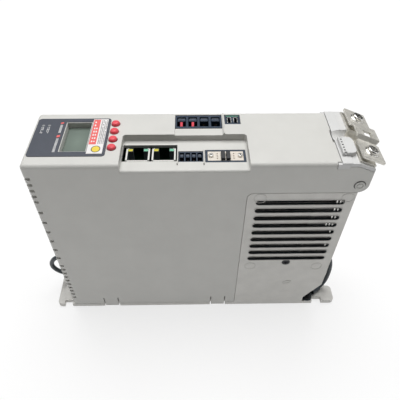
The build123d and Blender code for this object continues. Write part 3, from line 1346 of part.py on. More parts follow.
def make_clamp_screw(side):
    """Machine screw with a combination recess."""
    place = (SCREW_X, side * CLAMP_SCREW_PITCH / 2)
    bolt = rod("Z", place, (CLAMP_HIGH - CLAMP_SCREW_REACH, CLAMP_HIGH), CLAMP_SCREW_RADIUS)
    head = rod("Z", place, (CLAMP_HIGH + HEAD_GAP, CLAMP_HIGH + CLAMP_HEAD_HEIGHT), CLAMP_HEAD_RADIUS)
    head = fillet(head.edges().sort_by(Axis.Z)[-1], CLAMP_HEAD_EDGE)
    bolt += head + rod("Z", place, (CLAMP_HIGH, CLAMP_HIGH + CLAMP_HEAD_HEIGHT / 2), CLAMP_SCREW_RADIUS)
    top = (CLAMP_HIGH + CLAMP_HEAD_HEIGHT / 2, CLAMP_HIGH + CLAMP_HEAD_HEIGHT)
    for length, width in ((RECESS_LENGTH, RECESS_WIDTH), (RECESS_WIDTH, RECESS_LENGTH)):
        bolt -= block(about(place[0], length), about(place[1], width), top)
    return SLOPE * bolt


def make_clamp_spacer():
    """Break-off spacer tile clipped on the cap, with a row of breaking holes."""
    x = span(CAP_X + TILE_START, TILE_LENGTH)
    y = span(NEAR + TILE_NEAR, TILE_WIDTH)
    low = FRONT + CAP_PROUD
    tile = block(x, y, span(low, TILE_THICKNESS))
    tile = rounded(tile, Axis.Z, TILE_RADIUS, lambda e: near_to(e.center().X, x[1]))
    tile = fillet(tile.edges().filter_by(lambda e: near_to(e.center().Z, low + TILE_THICKNESS)), TILE_EDGE)
    middle = (y[0] + y[1]) / 2
    for index in range(TILE_HOLES):
        place = (x[0] + TILE_HOLE_IN, middle + (index - (TILE_HOLES - 1) / 2) * TILE_HOLE_PITCH)
        tile -= rod("Z", place, span(low, TILE_THICKNESS), TILE_HOLE_RADIUS)
    step = span(low + TILE_THICKNESS / 2, TILE_THICKNESS)
    for side in (y[0], y[1] - TILE_STEP_WIDTH):
        tile -= block(span(x[0] + TILE_STEP_IN, TILE_STEP_LENGTH), span(side, TILE_STEP_WIDTH), step)
    return tile


# ---------------------------------------------------------------- leads

def turn_radii(points):
    """Arc radius at each corner: a share of the shorter run over the tangent of half the turn."""
    radii = []
    for before, here, after in zip(points, points[1:], points[2:]):
        first, second = here - before, after - here
        half_turn = first.get_angle(second) / 2
        tangent = Vector(1, 0).rotate(Axis.Z, half_turn)
        radii.append(RUN_SHARE * min(first.length, second.length) * tangent.X / tangent.Y)
    return radii


def make_lead(name, route, radius):
    """Round lead along straight runs joined by arcs."""
    points = [Vector(*point) for point in route]
    radii = turn_radii(points)
    print(name, "arc radii", [round(value, 1) for value in radii], "diameter", 2 * radius)
    path = FilletPolyline(*points, radius=radii)
    start = Plane(path @ 0, z_dir=path % 0)
    tube = sweep(start * Circle(radius), path)
    share = tube.volume / (path.length * Circle(radius).area)
    print(name, "length", round(path.length, 1), "volume over section times length", round(share, 4))
    return tube


def make_earth_lug():
    """Ring terminal crimped on the earth lead, lying on the base plate."""
    x, y = EARTH_SCREW
    z = span(PLATE_THICKNESS, LUG_PLATE)
    ring = rod("Z", (x, y), z, LUG_RING_RADIUS)
    aim = Vector(EARTH_ROUTE[0][0] - x, EARTH_ROUTE[0][1] - y)
    heading = Vector(1, 0).get_signed_angle(aim, Vector(0, 0, 1))
    place = Pos(x, y, 0) * Rot(0, 0, heading)
    reach = aim.length
    neck = (LUG_RING_RADIUS - 1, reach - BARREL_LENGTH + 1)
    ring += place * block(neck, about(0, BARREL_RADIUS * 1.6), z)
    barrel = rod("X", (0, PLATE_THICKNESS + BARREL_RADIUS), (reach - BARREL_LENGTH, reach), BARREL_RADIUS)
    ring += place * barrel
    return ring - rod("Z", (x, y), z, LUG_SCREW_RADIUS)


def make_earth_screw():
    seat = PLATE_THICKNESS + LUG_PLATE
    return screw("Z", EARTH_SCREW, seat, 1, LUG_SCREW_RADIUS, LUG_SCREW_RADIUS * 1.7, PLATE_THICKNESS)


SHUNT_LEAD = make_lead("shunt_lead", SHUNT_ROUTE, SHUNT_LEAD_RADIUS)
EARTH_LEAD = make_lead("earth_lead", EARTH_ROUTE, EARTH_LEAD_RADIUS)
nodes = {
    "chassis": make_chassis(),
    "fin_block": make_fin_block(),
    "fin_screws": make_fin_screws(),
    "fan_frame": make_fan_frame(),
    "fan_rotor": make_fan_rotor(),
    "fan_screws": make_fan_screws(),
    "hood": make_hood(),
    "cable_cap": make_cable_cap(),
    "snap_rivets": make_snap_rivets(),
    "display_overlay": make_display_overlay(),
    "info_label": make_info_label(),
    "lcd_glass": make_lcd_glass(),
    "lcd_module": make_lcd_module(),
    "button_switches": make_button_switches(),
    "status_light_pipes": make_light_pipes(),
    "jack_contacts": make_jack_contacts(),
    "jack_leds_yellow": [led_rooms(x, -1) for x in JACK_X],
    "jack_leds_green": [led_rooms(x, 1) for x in JACK_X],
    "io_header": make_io_header(),
    "motor_header": make_motor_header(),
    "brake_header": make_brake_header(),
    "coding_keys": make_coding_keys(),
    "connector_pins": make_connector_pins(),
    "feedback_frame": make_feedback_frame(),
    "feedback_plate": make_feedback_plate(),
    "feedback_posts": feedback_post_boxes(0),
    "feedback_screws": make_feedback_screws(),
    "control_board": make_control_board(),
    "board_screws": make_board_screws(),
    "power_board": make_power_board(),
    "power_standoffs": make_standoffs(),
    "board_connector": make_board_connector(),
    "bus_capacitors": make_capacitors(),
    "power_module": make_power_module(),
    "thermal_pad": make_thermal_pad(),
    "filter_choke": make_choke(),
    "supply_transformer": make_transformer(),
    "inrush_relay": make_relay(),
    "shunt_resistor": make_shunt_resistor() - SHUNT_LEAD,
    "safety_header": make_safety_header(),
    "shunt_header": make_shunt_header(),
    "shunt_plug": make_shunt_plug() - SHUNT_LEAD,
    "clamp_bracket": make_clamp_bracket(),
    "clamp_plate": make_clamp_plate(),
    "clamp_screw_1": make_clamp_screw(-1),
    "clamp_screw_2": make_clamp_screw(1),
    "clamp_spacer": make_clamp_spacer(),
    "earth_lug": make_earth_lug() - EARTH_LEAD,
    "earth_screw": make_earth_screw(),
    "shunt_lead": SHUNT_LEAD,
    "earth_lead": EARTH_LEAD,
}
for number, place in enumerate(button_places(), start=1):
    nodes[f"button_{number}"] = make_button(place)
for number, stretch in enumerate(JACK_X, start=1):
    nodes[f"ethernet_jack_{number}"] = make_jack(stretch)
for name, (width, heights, pitch) in end_header_layout().items():
    nodes[name] = make_end_header(width, heights, pitch)

os.makedirs("parts", exist_ok=True)
for name, shape in nodes.items():
    if isinstance(shape, list):
        shape = Compound(children=[solid for piece in shape for solid in piece.solids()])
    export_step(shape, f"parts/{name}.step")
print(len(nodes), "nodes")
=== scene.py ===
# %% [markdown]
# # A book-format servo drive, finished in Blender
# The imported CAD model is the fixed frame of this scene: its nodes keep their shapes and places.
# This lesson adds the camera, the light, the finishes, and the pieces that a mesh tool makes
# better than a CAD tool: leads, printed marks, casting marks and small trims.

# %% Load the frame
import json
import math

import bmesh
import bpy
from mathutils import Matrix, Vector


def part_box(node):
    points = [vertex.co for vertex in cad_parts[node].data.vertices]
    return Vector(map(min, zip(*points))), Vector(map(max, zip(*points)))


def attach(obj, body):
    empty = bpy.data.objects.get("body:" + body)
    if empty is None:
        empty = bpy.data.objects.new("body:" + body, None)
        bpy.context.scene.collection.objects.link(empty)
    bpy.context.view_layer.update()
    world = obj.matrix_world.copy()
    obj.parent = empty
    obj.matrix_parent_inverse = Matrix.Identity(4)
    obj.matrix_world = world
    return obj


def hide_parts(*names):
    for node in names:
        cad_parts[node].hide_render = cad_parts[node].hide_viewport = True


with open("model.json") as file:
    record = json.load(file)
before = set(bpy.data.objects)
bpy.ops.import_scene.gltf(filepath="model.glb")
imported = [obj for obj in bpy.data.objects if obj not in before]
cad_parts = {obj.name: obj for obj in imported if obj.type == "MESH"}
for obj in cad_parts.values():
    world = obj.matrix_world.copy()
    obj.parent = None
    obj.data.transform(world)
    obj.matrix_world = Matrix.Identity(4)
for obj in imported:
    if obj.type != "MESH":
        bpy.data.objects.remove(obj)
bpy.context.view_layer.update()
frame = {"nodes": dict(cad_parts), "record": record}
MM = 0.001

# %% [markdown]
# ## Camera
# The drive lies on its back and is seen from above its near side, so the front panel and one long
# side both show. A lens of about 38 mm gives the slight fanning-out of the upright edges.
# The view is set by three turns, yaw, pitch and roll, instead of a tracking constraint, because
# a constraint would hide the small roll.

# %% Camera
CAMERA_PLACE = Vector((-3.99, -201.03, 311.10)) * MM
CAMERA_LENS = 38.43
CAMERA_YAW, CAMERA_TILT, CAMERA_ROLL = (math.radians(angle) for angle in (-1.50, 43.25, 0.58))


def add_camera():
    data = bpy.data.cameras.new("camera")
    data.lens = CAMERA_LENS
    data.sensor_width = 36
    data.clip_start = 0.01
    camera = bpy.data.objects.new("camera", data)
    turn = Matrix.Rotation(CAMERA_YAW, 4, "Z") @ Matrix.Rotation(CAMERA_TILT, 4, "X")
    camera.matrix_world = Matrix.Translation(CAMERA_PLACE) @ turn @ Matrix.Rotation(CAMERA_ROLL, 4, "Z")
    bpy.context.scene.collection.objects.link(camera)
    bpy.context.scene.camera = camera
    return camera


print("camera at", [round(value, 3) for value in add_camera().location])

# %% [markdown]
# ## Two short leads
# The drive has two leads of its own. One loops out of the top end and back in, and is read as the
# lead of a braking resistor. The other runs from a ring terminal on the base plate up into the wall
# of the lower end, and is read as an earth lead. Each could be a swept mesh, but a curve keeps the
# line editable: a NURBS spline whose control points are the corners of the lead's route bends
# smoothly past them, as insulation does. The order is set after the points are there, because a
# spline with too few points falls back to straight runs.

# %% Leads
SHUNT_ROUTE = [
    (-98.0, -1.5, 38.0),
    (-106.5, -1.5, 37.0),
    (-114.5, -1.5, 32.5),
    (-118.0, -1.5, 24.5),
    (-115.0, -1.5, 16.5),
    (-107.5, -1.5, 11.8),
    (-97.0, -1.5, 11.0),
]
EARTH_ROUTE = [
    (99.0, -14.0, 5.9),
    (103.5, -11.5, 9.0),
    (105.6, -9.5, 16.5),
    (106.4, -7.0, 26.0),
    (104.6, -4.8, 34.0),
    (100.6, -3.4, 39.5),
    (92.8, -3.0, 41.0),
]
SHUNT_LENGTH, SHUNT_DIAMETER = 0.0532, 0.0035
EARTH_LENGTH, EARTH_DIAMETER = 0.0466, 0.0032
CORD_ROUNDNESS = 6


def make_cord(name, route, diameter, node_name):
    data = bpy.data.curves.new(name, "CURVE")
    data.dimensions = "3D"
    data.bevel_depth = 1.0
    data.bevel_resolution = CORD_ROUNDNESS
    data.use_fill_caps = True
    spline = data.splines.new("NURBS")
    spline.points.add(len(route) - 1)
    for point, place in zip(spline.points, route):
        point.co = (*(Vector(place) * MM), 1)
        point.radius = diameter / 2
    spline.order_u = 3
    spline.use_endpoint_u = True
    spline.resolution_u = 10
    piece = bpy.data.objects.new(name, data)
    bpy.context.scene.collection.objects.link(piece)
    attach(piece, "housing")
    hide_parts(node_name)
    return piece


shunt_cord = make_cord("shunt_cord", SHUNT_ROUTE, SHUNT_DIAMETER, "shunt_lead")
earth_cord = make_cord("earth_cord", EARTH_ROUTE, EARTH_DIAMETER, "earth_lead")
print("leads:", SHUNT_LENGTH, "m and", EARTH_LENGTH, "m")

# %% [markdown]
# ## Studio
# A pale floor and three large soft lights. The top light is the strongest and hangs above and
# behind the drive, so the front panel is bright, while the near side is lit only by what the
# floor throws back and falls into a mid grey. The floor is a sheet of paper on a light table: it
# glows a little, so a shadow on it stays pale. The two other lights are weak: they draw the
# highlights on metal and film. A faint sky fills the rest, and is pale where it is seen directly,
# so that a low view has a plain backdrop.

# %% Floor and lights
FLOOR_SIZE = 6.0
LIGHTS = {
    "top_light": ((-0.05, 0.45, 1.70), 1.4, 34.0),
    "side_light": ((-0.9, 0.15, 0.55), 0.6, 1.4),
    "fill_light": ((0.9, 0.15, 0.6), 0.8, 2.0),
}
SKY_STRENGTH = 0.03
BACKDROP_STRENGTH = 0.92
PAPER_COLOUR = (0.30, 0.30, 0.30, 1)
PAPER_GLOW = 0.70
LIGHT_AIM = Vector((0, 0, 0.08))


def add_light(name, place, size, power):
    data = bpy.data.lights.new(name, "AREA")
    data.size = size
    data.energy = power
    light = bpy.data.objects.new(name, data)
    aim = LIGHT_AIM - Vector(place)
    light.matrix_world = Matrix.Translation(place) @ aim.to_track_quat("-Z", "Y").to_matrix().to_4x4()
    bpy.context.scene.collection.objects.link(light)


def add_floor():
    half = FLOOR_SIZE / 2
    mesh = bpy.data.meshes.new("floor")
    corners = [(-half, -half, 0), (half, -half, 0), (half, half, 0), (-half, half, 0)]
    mesh.from_pydata(corners, [], [(0, 1, 2, 3)])
    floor = bpy.data.objects.new("floor", mesh)
    bpy.context.scene.collection.objects.link(floor)
    material = bpy.data.materials.new("floor_paper")
    material.use_nodes = True
    shader = material.node_tree.nodes["Principled BSDF"]
    shader.inputs["Base Color"].default_value = PAPER_COLOUR
    shader.inputs["Emission Color"].default_value = (1, 1, 1, 1)
    shader.inputs["Emission Strength"].default_value = PAPER_GLOW
    shader.inputs["Roughness"].default_value = 0.9
    mesh.materials.append(material)


def add_sky():
    world = bpy.data.worlds.new("studio")
    world.use_nodes = True
    background = world.node_tree.nodes["Background"]
    background.inputs["Color"].default_value = (1, 1, 1, 1)
    seen = world.node_tree.nodes.new("ShaderNodeLightPath")
    strength = world.node_tree.nodes.new("ShaderNodeMapRange")
    strength.inputs["To Min"].default_value = SKY_STRENGTH
    strength.inputs["To Max"].default_value = BACKDROP_STRENGTH
    world.node_tree.links.new(seen.outputs["Is Camera Ray"], strength.inputs["Value"])
    world.node_tree.links.new(strength.outputs["Result"], background.inputs["Strength"])
    bpy.context.scene.world = world


for light_name, (light_place, light_size, light_power) in LIGHTS.items():
    add_light(light_name, light_place, light_size, light_power)
add_floor()
add_sky()
bpy.context.scene.view_settings.view_transform = "Standard"
print("studio:", len(LIGHTS), "lights")

# %% [markdown]
# ## Finishes
# Every finish is built from nodes on Object coordinates, so the grain has a real size in metres.
# The usual build is the same for moulded plastic, sleeve, film and plated metal: two close
# colours mixed by noise, a roughness that wanders a little, a fine bump, and a small round on
# sharp edges, which catches the light as a real moulded or pressed edge does. One helper makes
# it, and the few finishes with a pattern of their own are made after it.

# %% Helper for finishes
def link(tree, source, target):
    tree.links.new(source, target)


def node(tree, kind, **sockets):
    """A new node with some of its inputs set, by name."""
    made = tree.nodes.new(kind)
    for name, value in sockets.items():
        made.inputs[name.replace("_", " ")].default_value = value
    return made


def noise(tree, scale, detail=3.0, rough=0.55):
    """Noise on Object coordinates. scale is in grains to a metre."""
    place = tree.nodes.new("ShaderNodeTexCoord")
    grain = node(tree, "ShaderNodeTexNoise", Scale=scale, Detail=detail, Roughness=rough)
    link(tree, place.outputs["Object"], grain.inputs["Vector"])
    return grain.outputs["Fac"]


def ranged(tree, value, low, high, start=0.3, end=0.7):
    """A number between low and high, as value goes from start to end."""
    scale = node(tree, "ShaderNodeMapRange", From_Min=start, From_Max=end, To_Min=low, To_Max=high)
    link(tree, value, scale.inputs["Value"])
    return scale.outputs["Result"]


def mixed(tree, factor, first, second):
    """A colour between two, each a colour or another node's output."""
    mix = tree.nodes.new("ShaderNodeMix")
    mix.data_type = "RGBA"
    link(tree, factor, mix.inputs[0])
    for socket, colour in ((mix.inputs[6], first), (mix.inputs[7], second)):
        if isinstance(colour, tuple):
            socket.default_value = (*colour, 1)
        else:
            link(tree, colour, socket)
    return mix.outputs[2]


def bumped(tree, shader, height, depth, edge):
    """Bump of a depth in metres over a small round on sharp edges."""
    bump = node(tree, "ShaderNodeBump", Strength=1.0, Distance=depth)
    link(tree, height, bump.inputs["Height"])
    if edge:
        bevel = node(tree, "ShaderNodeBevel", Radius=edge)
        bevel.samples = 4
        link(tree, bevel.outputs["Normal"], bump.inputs["Normal"])
    link(tree, bump.outputs["Normal"], shader.inputs["Normal"])


def start_material(name, **constants):
    material = bpy.data.materials.new(name)
    material.use_nodes = True
    shader = material.node_tree.nodes["Principled BSDF"]
    for socket, value in constants.items():
        shader.inputs[socket.replace("_", " ")].default_value = value
    return material, material.node_tree, shader


finishes = {}
ROUGH_GRAIN_SHARE = 0.37


def add_finish(name, colour, vary, grain, rough, depth, bump_grain=4500, edge=0.0003, **constants):
    """Make and keep a finish of one colour that varies by a share of itself."""
    material, tree, shader = start_material(name, **constants)
    dark = tuple(channel * (1 - vary) for channel in colour)
    light = tuple(min(1.0, channel * (1 + vary)) for channel in colour)
    tone = mixed(tree, ranged(tree, noise(tree, grain), 0, 1), dark, light)
    link(tree, tone, shader.inputs["Base Color"])
    link(tree, ranged(tree, noise(tree, grain * ROUGH_GRAIN_SHARE), *rough), shader.inputs["Roughness"])
    bumped(tree, shader, noise(tree, bump_grain, 2.0), depth, edge)
    finishes[name] = material


print("helpers ready")

# %% [markdown]
# ## Moulded plastics
# The hood is a light grey blend with a spark-eroded texture: a bump of about ten micrometres,
# several grains to a millimetre. The cap and its break-off tile are whiter. Connector bodies are
# glass-filled nylon, nearly black with a blue cast, and the keys are silicone rubber, which is
# softer in its highlight and scatters a little light.

# %% Plastics
add_finish("housing_plastic", (0.615, 0.61, 0.58), 0.025, 60, (0.42, 0.52), 1.2e-5, 5200)
add_finish("cap_plastic", (0.65, 0.65, 0.64), 0.02, 90, (0.40, 0.50), 1.0e-5, 5200)
add_finish("black_plastic", (0.018, 0.019, 0.022), 0.2, 700, (0.38, 0.52), 8e-6)
add_finish("jack_insert", (0.085, 0.112, 0.122), 0.15, 700, (0.38, 0.52), 8e-6)
add_finish("navy_plastic", (0.018, 0.034, 0.062), 0.2, 700, (0.36, 0.50), 8e-6)
add_finish("cream_plastic", (0.72, 0.66, 0.58), 0.05, 500, (0.40, 0.52), 8e-6)
add_finish("jack_shell", (0.74, 0.74, 0.70), 0.03, 400, (0.28, 0.40), 5e-6)
add_finish("red_plastic", (0.68, 0.07, 0.10), 0.08, 500, (0.30, 0.42), 5e-6)
add_finish("orange_plastic", (0.72, 0.25, 0.03), 0.06, 500, (0.34, 0.46), 6e-6)
add_finish("relay_blue", (0.03, 0.12, 0.32), 0.08, 400, (0.25, 0.38), 4e-6)
add_finish(
    "coral_rubber", (0.78, 0.072, 0.10), 0.05, 900, (0.42, 0.52), 5e-6,
    Subsurface_Weight=0.12, Subsurface_Radius=(0.002, 0.0006, 0.0005), Subsurface_Scale=0.4,
)
add_finish("lead_sleeve", (0.040, 0.052, 0.062), 0.12, 300, (0.30, 0.42), 6e-6, 2500, Coat_Weight=0.15)
add_finish("can_sleeve", (0.020, 0.030, 0.055), 0.1, 300, (0.22, 0.34), 5e-6)
add_finish("pad_silicone", (0.42, 0.45, 0.50), 0.06, 800, (0.6, 0.75), 1e-5)
add_finish("ferrite", (0.055, 0.055, 0.060), 0.15, 900, (0.55, 0.7), 1.5e-5)
LED_GLOW = {"Subsurface_Weight": 0.2, "Subsurface_Scale": 0.001}
add_finish("led_yellow", (0.62, 0.56, 0.05), 0.06, 900, (0.25, 0.35), 3e-6, **LED_GLOW)
add_finish("led_green", (0.22, 0.55, 0.36), 0.06, 900, (0.25, 0.35), 3e-6, **LED_GLOW)
add_finish(
    "clear_plastic", (0.80, 0.83, 0.84), 0.02, 500, (0.10, 0.18), 2e-6,
    Transmission_Weight=0.6, IOR=1.49,
)
print("plastics:", len(finishes))

# %% [markdown]
# ## Metals
# Nickel plate, tinned steel, brass and gold share the helper, with the metal socket at one and
# their grain unstretched, because they are small. The duct is a large casting, so its mottling
# shows: blasting leaves patches of slightly different grey a few millimetres across, and the
# surface is rough enough to blur every reflection.

# %% Metals
add_finish("nickel_steel", (0.74, 0.73, 0.70), 0.05, 1500, (0.20, 0.34), 4e-6, Metallic=1.0)
add_finish("tin_steel", (0.66, 0.66, 0.64), 0.06, 1200, (0.28, 0.42), 5e-6, Metallic=1.0)
add_finish("brass_spacer", (0.72, 0.52, 0.24), 0.06, 1200, (0.24, 0.36), 4e-6, Metallic=1.0)
add_finish("gold_contact", (0.80, 0.58, 0.22), 0.05, 1500, (0.16, 0.28), 2e-6, Metallic=1.0)
add_finish("gold_case", (0.66, 0.46, 0.18), 0.06, 800, (0.30, 0.42), 5e-6, Metallic=0.9)
add_finish("copper_pin", (0.66, 0.38, 0.20), 0.06, 1500, (0.22, 0.34), 3e-6, Metallic=1.0)
add_finish("black_oxide", (0.020, 0.021, 0.024), 0.15, 900, (0.35, 0.5), 5e-6, Metallic=0.6)
# fin_aluminium is nearly black: partly the fins' dark anodising, partly painted shade of the duct's interior
# seen through the grille
add_finish("fin_aluminium", (0.050, 0.060, 0.075), 0.12, 900, (0.35, 0.5), 8e-6, Metallic=1.0)


def cast_finish(name, colour):
    """Blasted die-cast metal: broad mottling under a fine grain."""
    material, tree, shader = start_material(name, Metallic=0.2)
    broad = ranged(tree, noise(tree, 110, 4.0, 0.6), 0, 1, 0.35, 0.65)
    fine = ranged(tree, noise(tree, 1800, 3.0, 0.6), 0, 1)
    patch = mixed(tree, broad, tuple(c * 0.93 for c in colour), tuple(min(1, c * 1.05) for c in colour))
    speck = mixed(tree, fine, tuple(c * 0.90 for c in colour), tuple(min(1, c * 1.08) for c in colour))
    blend = tree.nodes.new("ShaderNodeMix")
    blend.data_type = "RGBA"
    blend.inputs[0].default_value = 0.45
    link(tree, patch, blend.inputs[6])
    link(tree, speck, blend.inputs[7])
    link(tree, blend.outputs[2], shader.inputs["Base Color"])
    link(tree, ranged(tree, noise(tree, 260), 0.46, 0.62), shader.inputs["Roughness"])
    bumped(tree, shader, noise(tree, 2600, 4.0, 0.65), 2.2e-5, 0.0004)
    return material


def pressed_finish(name, colour):
    """Plated sheet steel with faint rolling lines along X and a few darker rubs."""
    material, tree, shader = start_material(name, Metallic=0.45)
    place = tree.nodes.new("ShaderNodeTexCoord")
    stretch = node(tree, "ShaderNodeMapping", Scale=(300, 3000, 3000))
    link(tree, place.outputs["Object"], stretch.inputs["Vector"])
    lines = node(tree, "ShaderNodeTexNoise", Scale=1.0, Detail=3.0)
    link(tree, stretch.outputs["Vector"], lines.inputs["Vector"])
    rub = ranged(tree, noise(tree, 240, 4.0), 0, 1, 0.38, 0.62)
    tone = mixed(tree, rub, tuple(c * 0.88 for c in colour), tuple(min(1, c * 1.06) for c in colour))
    link(tree, tone, shader.inputs["Base Color"])
    link(tree, ranged(tree, lines.outputs["Fac"], 0.26, 0.42), shader.inputs["Roughness"])
    bumped(tree, shader, lines.outputs["Fac"], 5e-6, 0.0003)
    return material


finishes["cast_aluminium"] = cast_finish("cast_aluminium", (0.64, 0.63, 0.60))
finishes["zinc_clamp"] = pressed_finish("zinc_clamp", (0.74, 0.72, 0.66))
print("finishes so far:", len(finishes))

# %% [markdown]
# ## Film, label, display and boards
# These have a pattern. The overlay film is slate grey, printed from behind, with a soft sheen. The
# display is reflective: its grey-green field is a little darker towards the edge where the frame
# shades it. A board's solder mask shows the tracks under it as slightly lighter green lines.

# %% Patterned finishes
def board_finish(name):
    """Green solder mask with raised tracks on a square plan."""
    material, tree, shader = start_material(name, Coat_Weight=0.3)
    place = tree.nodes.new("ShaderNodeTexCoord")
    tracks = node(tree, "ShaderNodeTexBrick", Scale=260.0)
    tracks.inputs["Mortar Size"].default_value = 0.03
    link(tree, place.outputs["Object"], tracks.inputs["Vector"])
    mask = mixed(tree, tracks.outputs["Fac"], (0.012, 0.11, 0.045), (0.03, 0.20, 0.08))
    link(tree, mask, shader.inputs["Base Color"])
    link(tree, ranged(tree, noise(tree, 600), 0.25, 0.4), shader.inputs["Roughness"])
    bumped(tree, shader, tracks.outputs["Fac"], 1.5e-5, 0.0)
    return material


def display_finish(name, low, high):
    """Reflective liquid crystal: grey-green, shaded a little towards the edges of the glass."""
    material, tree, shader = start_material(name, Coat_Weight=0.6, Coat_Roughness=0.05)
    place = tree.nodes.new("ShaderNodeTexCoord")
    middle = [(a + b) / 2 for a, b in zip(low, high)]
    half = [(b - a) / 2 for a, b in zip(low, high)]
    shift = [-m / h for m, h in zip(middle, half)]
    centre = node(tree, "ShaderNodeMapping", Location=shift, Scale=[1 / h for h in half])
    link(tree, place.outputs["Object"], centre.inputs["Vector"])
    glow = tree.nodes.new("ShaderNodeTexGradient")
    glow.gradient_type = "SPHERICAL"
    shrink = node(tree, "ShaderNodeVectorMath")
    shrink.operation = "MULTIPLY"
    shrink.inputs[1].default_value = (0.45, 0.45, 0)
    link(tree, centre.outputs["Vector"], shrink.inputs[0])
    link(tree, shrink.outputs["Vector"], glow.inputs["Vector"])
    inward = ranged(tree, glow.outputs["Fac"], 0, 1, 0.3, 1.0)
    field = mixed(tree, inward, (0.120, 0.147, 0.130), (0.215, 0.265, 0.228))
    link(tree, field, shader.inputs["Base Color"])
    link(tree, ranged(tree, noise(tree, 900), 0.18, 0.26), shader.inputs["Roughness"])
    bumped(tree, shader, noise(tree, 3000, 2.0), 2e-6, 0.0)
    return material


add_finish("slate_film", (0.060, 0.068, 0.088), 0.05, 350, (0.40, 0.52), 6e-6, 6000, 0.00015)
add_finish("label_print", (0.80, 0.78, 0.77), 0.03, 500, (0.32, 0.45), 4e-6, 5000, 0.0001)
INKS = {
    "white_ink": (0.80, 0.80, 0.79),
    "grey_ink": (0.20, 0.20, 0.21),
    "black_ink": (0.030, 0.028, 0.025),
    "coral_ink": (0.78, 0.13, 0.12),
    "yellow_ink": (0.80, 0.62, 0.06),
}
for ink, colour in INKS.items():
    add_finish(ink, colour, 0.05, 900, (0.40, 0.55), 3e-6, 5000, 0.0)
finishes["board_green"] = board_finish("board_green")
finishes["lcd_glass"] = display_finish("lcd_glass", *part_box("lcd_glass"))
print("finishes:", len(finishes))

# %% [markdown]
# ## Dress the CAD nodes
# Each CAD node already says which finish it takes: its slot in the record. So one loop dresses all
# of them, and a node with no finish would stop the script here. Five nodes look darker than their
# slot says, so they get another finish. The jacks are taken to show their inserts, the two kinds of
# screw to be blacked, and the ring terminal to wear a sleeve. These are readings of a dark patch.

# %% Dress the nodes
def dress(piece, finish):
    piece.data.materials.clear()
    piece.data.materials.append(finishes[finish])


slots = {part["node"]: part["material_slot"] for part in frame["record"]["subparts"]}
shown_darker = {
    "ethernet_jack_1": "jack_insert", "ethernet_jack_2": "jack_insert",
    "fin_screws": "black_oxide", "earth_screw": "black_oxide", "earth_lug": "lead_sleeve",
}
for node_name, cad_object in frame["nodes"].items():
    dress(cad_object, shown_darker.get(node_name, slots[node_name]))
for cord in (shunt_cord, earth_cord):
    dress(cord, "lead_sleeve")
print("dressed", len(slots), "nodes and 2 leads")

# %% [markdown]
# ## Tools for small pieces
# Small rigid details are quickest as bmesh: a bar between two corners, an outline given a height,
# or a profile turned about an axis. All three give closed shells. What repeats is left to Geometry
# Nodes further down. A finished piece keeps its object at the origin and has its place in its mesh,
# like a CAD node.

# %% Mesh helpers
RING_STEPS = 40


def add_bar(shell, low, high):
    """A box between two corners, given in millimetres."""
    low, high = Vector(low) * MM, Vector(high) * MM
    place = Matrix.Translation((low + high) / 2) @ Matrix.Diagonal((*(high - low), 1))
    bmesh.ops.create_cube(shell, size=1, matrix=place)


def add_prism(shell, corners, low, high):
    """An outline in X and Y, in order round it, between two heights, all in millimetres."""
    rings = [[shell.verts.new(Vector((x, y, z)) * MM) for x, y in corners] for z in (low, high)]
    shell.faces.new(rings[0][::-1])
    shell.faces.new(rings[1])
    count = len(corners)
    for index in range(count):
        after = (index + 1) % count
        shell.faces.new((rings[0][index], rings[0][after], rings[1][after], rings[1][index]))


def add_ring(shell, middle, axes, radii, width, height):
    """A raised ring with a sloped edge. axes are its two directions and its outward direction."""
    first, second, out = axes
    profile = ((-width / 2, 0), (-width / 5, height), (width / 5, height), (width / 2, 0), (0, -height))
    rings = []
    for step in range(RING_STEPS):
        turn = 2 * math.pi * step / RING_STEPS
        ring = []
        for reach, rise in profile:
            spot = first * (math.cos(turn) * (radii[0] + reach))
            spot += second * (math.sin(turn) * (radii[1] + reach))
            ring.append(shell.verts.new((Vector(middle) + spot + out * rise) * MM))
        rings.append(ring)
    for step in range(RING_STEPS):
        here, there = rings[step], rings[(step + 1) % RING_STEPS]
        for index in range(len(profile)):
            after = (index + 1) % len(profile)
            shell.faces.new((here[index], here[after], there[after], there[index]))


def add_piece(name, mesh, finish, body="housing"):
    """Dress a mesh, put it in the scene and let it ride on a body."""
    piece = bpy.data.objects.new(name, mesh)
    bpy.context.scene.collection.objects.link(piece)
    dress(piece, finish)
    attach(piece, body)
    return piece


def settle(name, shell, finish, body="housing"):
    """Turn a bmesh shell into a piece, with its faces outwards."""
    bmesh.ops.recalc_face_normals(shell, faces=shell.faces)
    mesh = bpy.data.meshes.new(name)
    shell.to_mesh(mesh)
    shell.free()
    return add_piece(name, mesh, finish, body)


def box_mm(node_name):
    """A node's lowest and highest corner in millimetres."""
    return [Vector(corner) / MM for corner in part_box(node_name)]


print("mesh helpers ready")

# %% [markdown]
# ## Network jacks
# A jack has a dark contact insert and, round its mouth, a thin off-white bezel, open on the side of
# the clip. The bezel could be a bevelled plane, but it shows its thickness from above, so it is
# four bars that overlap at the corners: two sides, a sill, and a short lip each side of the clip.

# %% Jack bezels
BEZEL_WIDTH, BEZEL_HEIGHT, LIP_LENGTH, SILL_SHARE = 0.95, 0.28, 1.5, 0.9


def jack_bezel(number):
    low, high = box_mm(f"ethernet_jack_{number}")
    shell = bmesh.new()
    top = high.z + BEZEL_HEIGHT
    add_bar(shell, (low.x, low.y, high.z), (low.x + BEZEL_WIDTH, high.y, top))
    add_bar(shell, (high.x - BEZEL_WIDTH, low.y, high.z), (high.x, high.y, top))
    add_bar(shell, (low.x, low.y, high.z), (high.x, low.y + BEZEL_WIDTH * SILL_SHARE, top))
    for start, end in ((low.x, low.x + LIP_LENGTH), (high.x - LIP_LENGTH, high.x)):
        add_bar(shell, (start, high.y - BEZEL_WIDTH / 2, high.z), (end, high.y, top))
    return settle(f"jack_bezel_{number}", shell, "jack_shell")


for jack in (1, 2):
    jack_bezel(jack)
print("bezels of", BEZEL_WIDTH, "mm on 2 jacks")

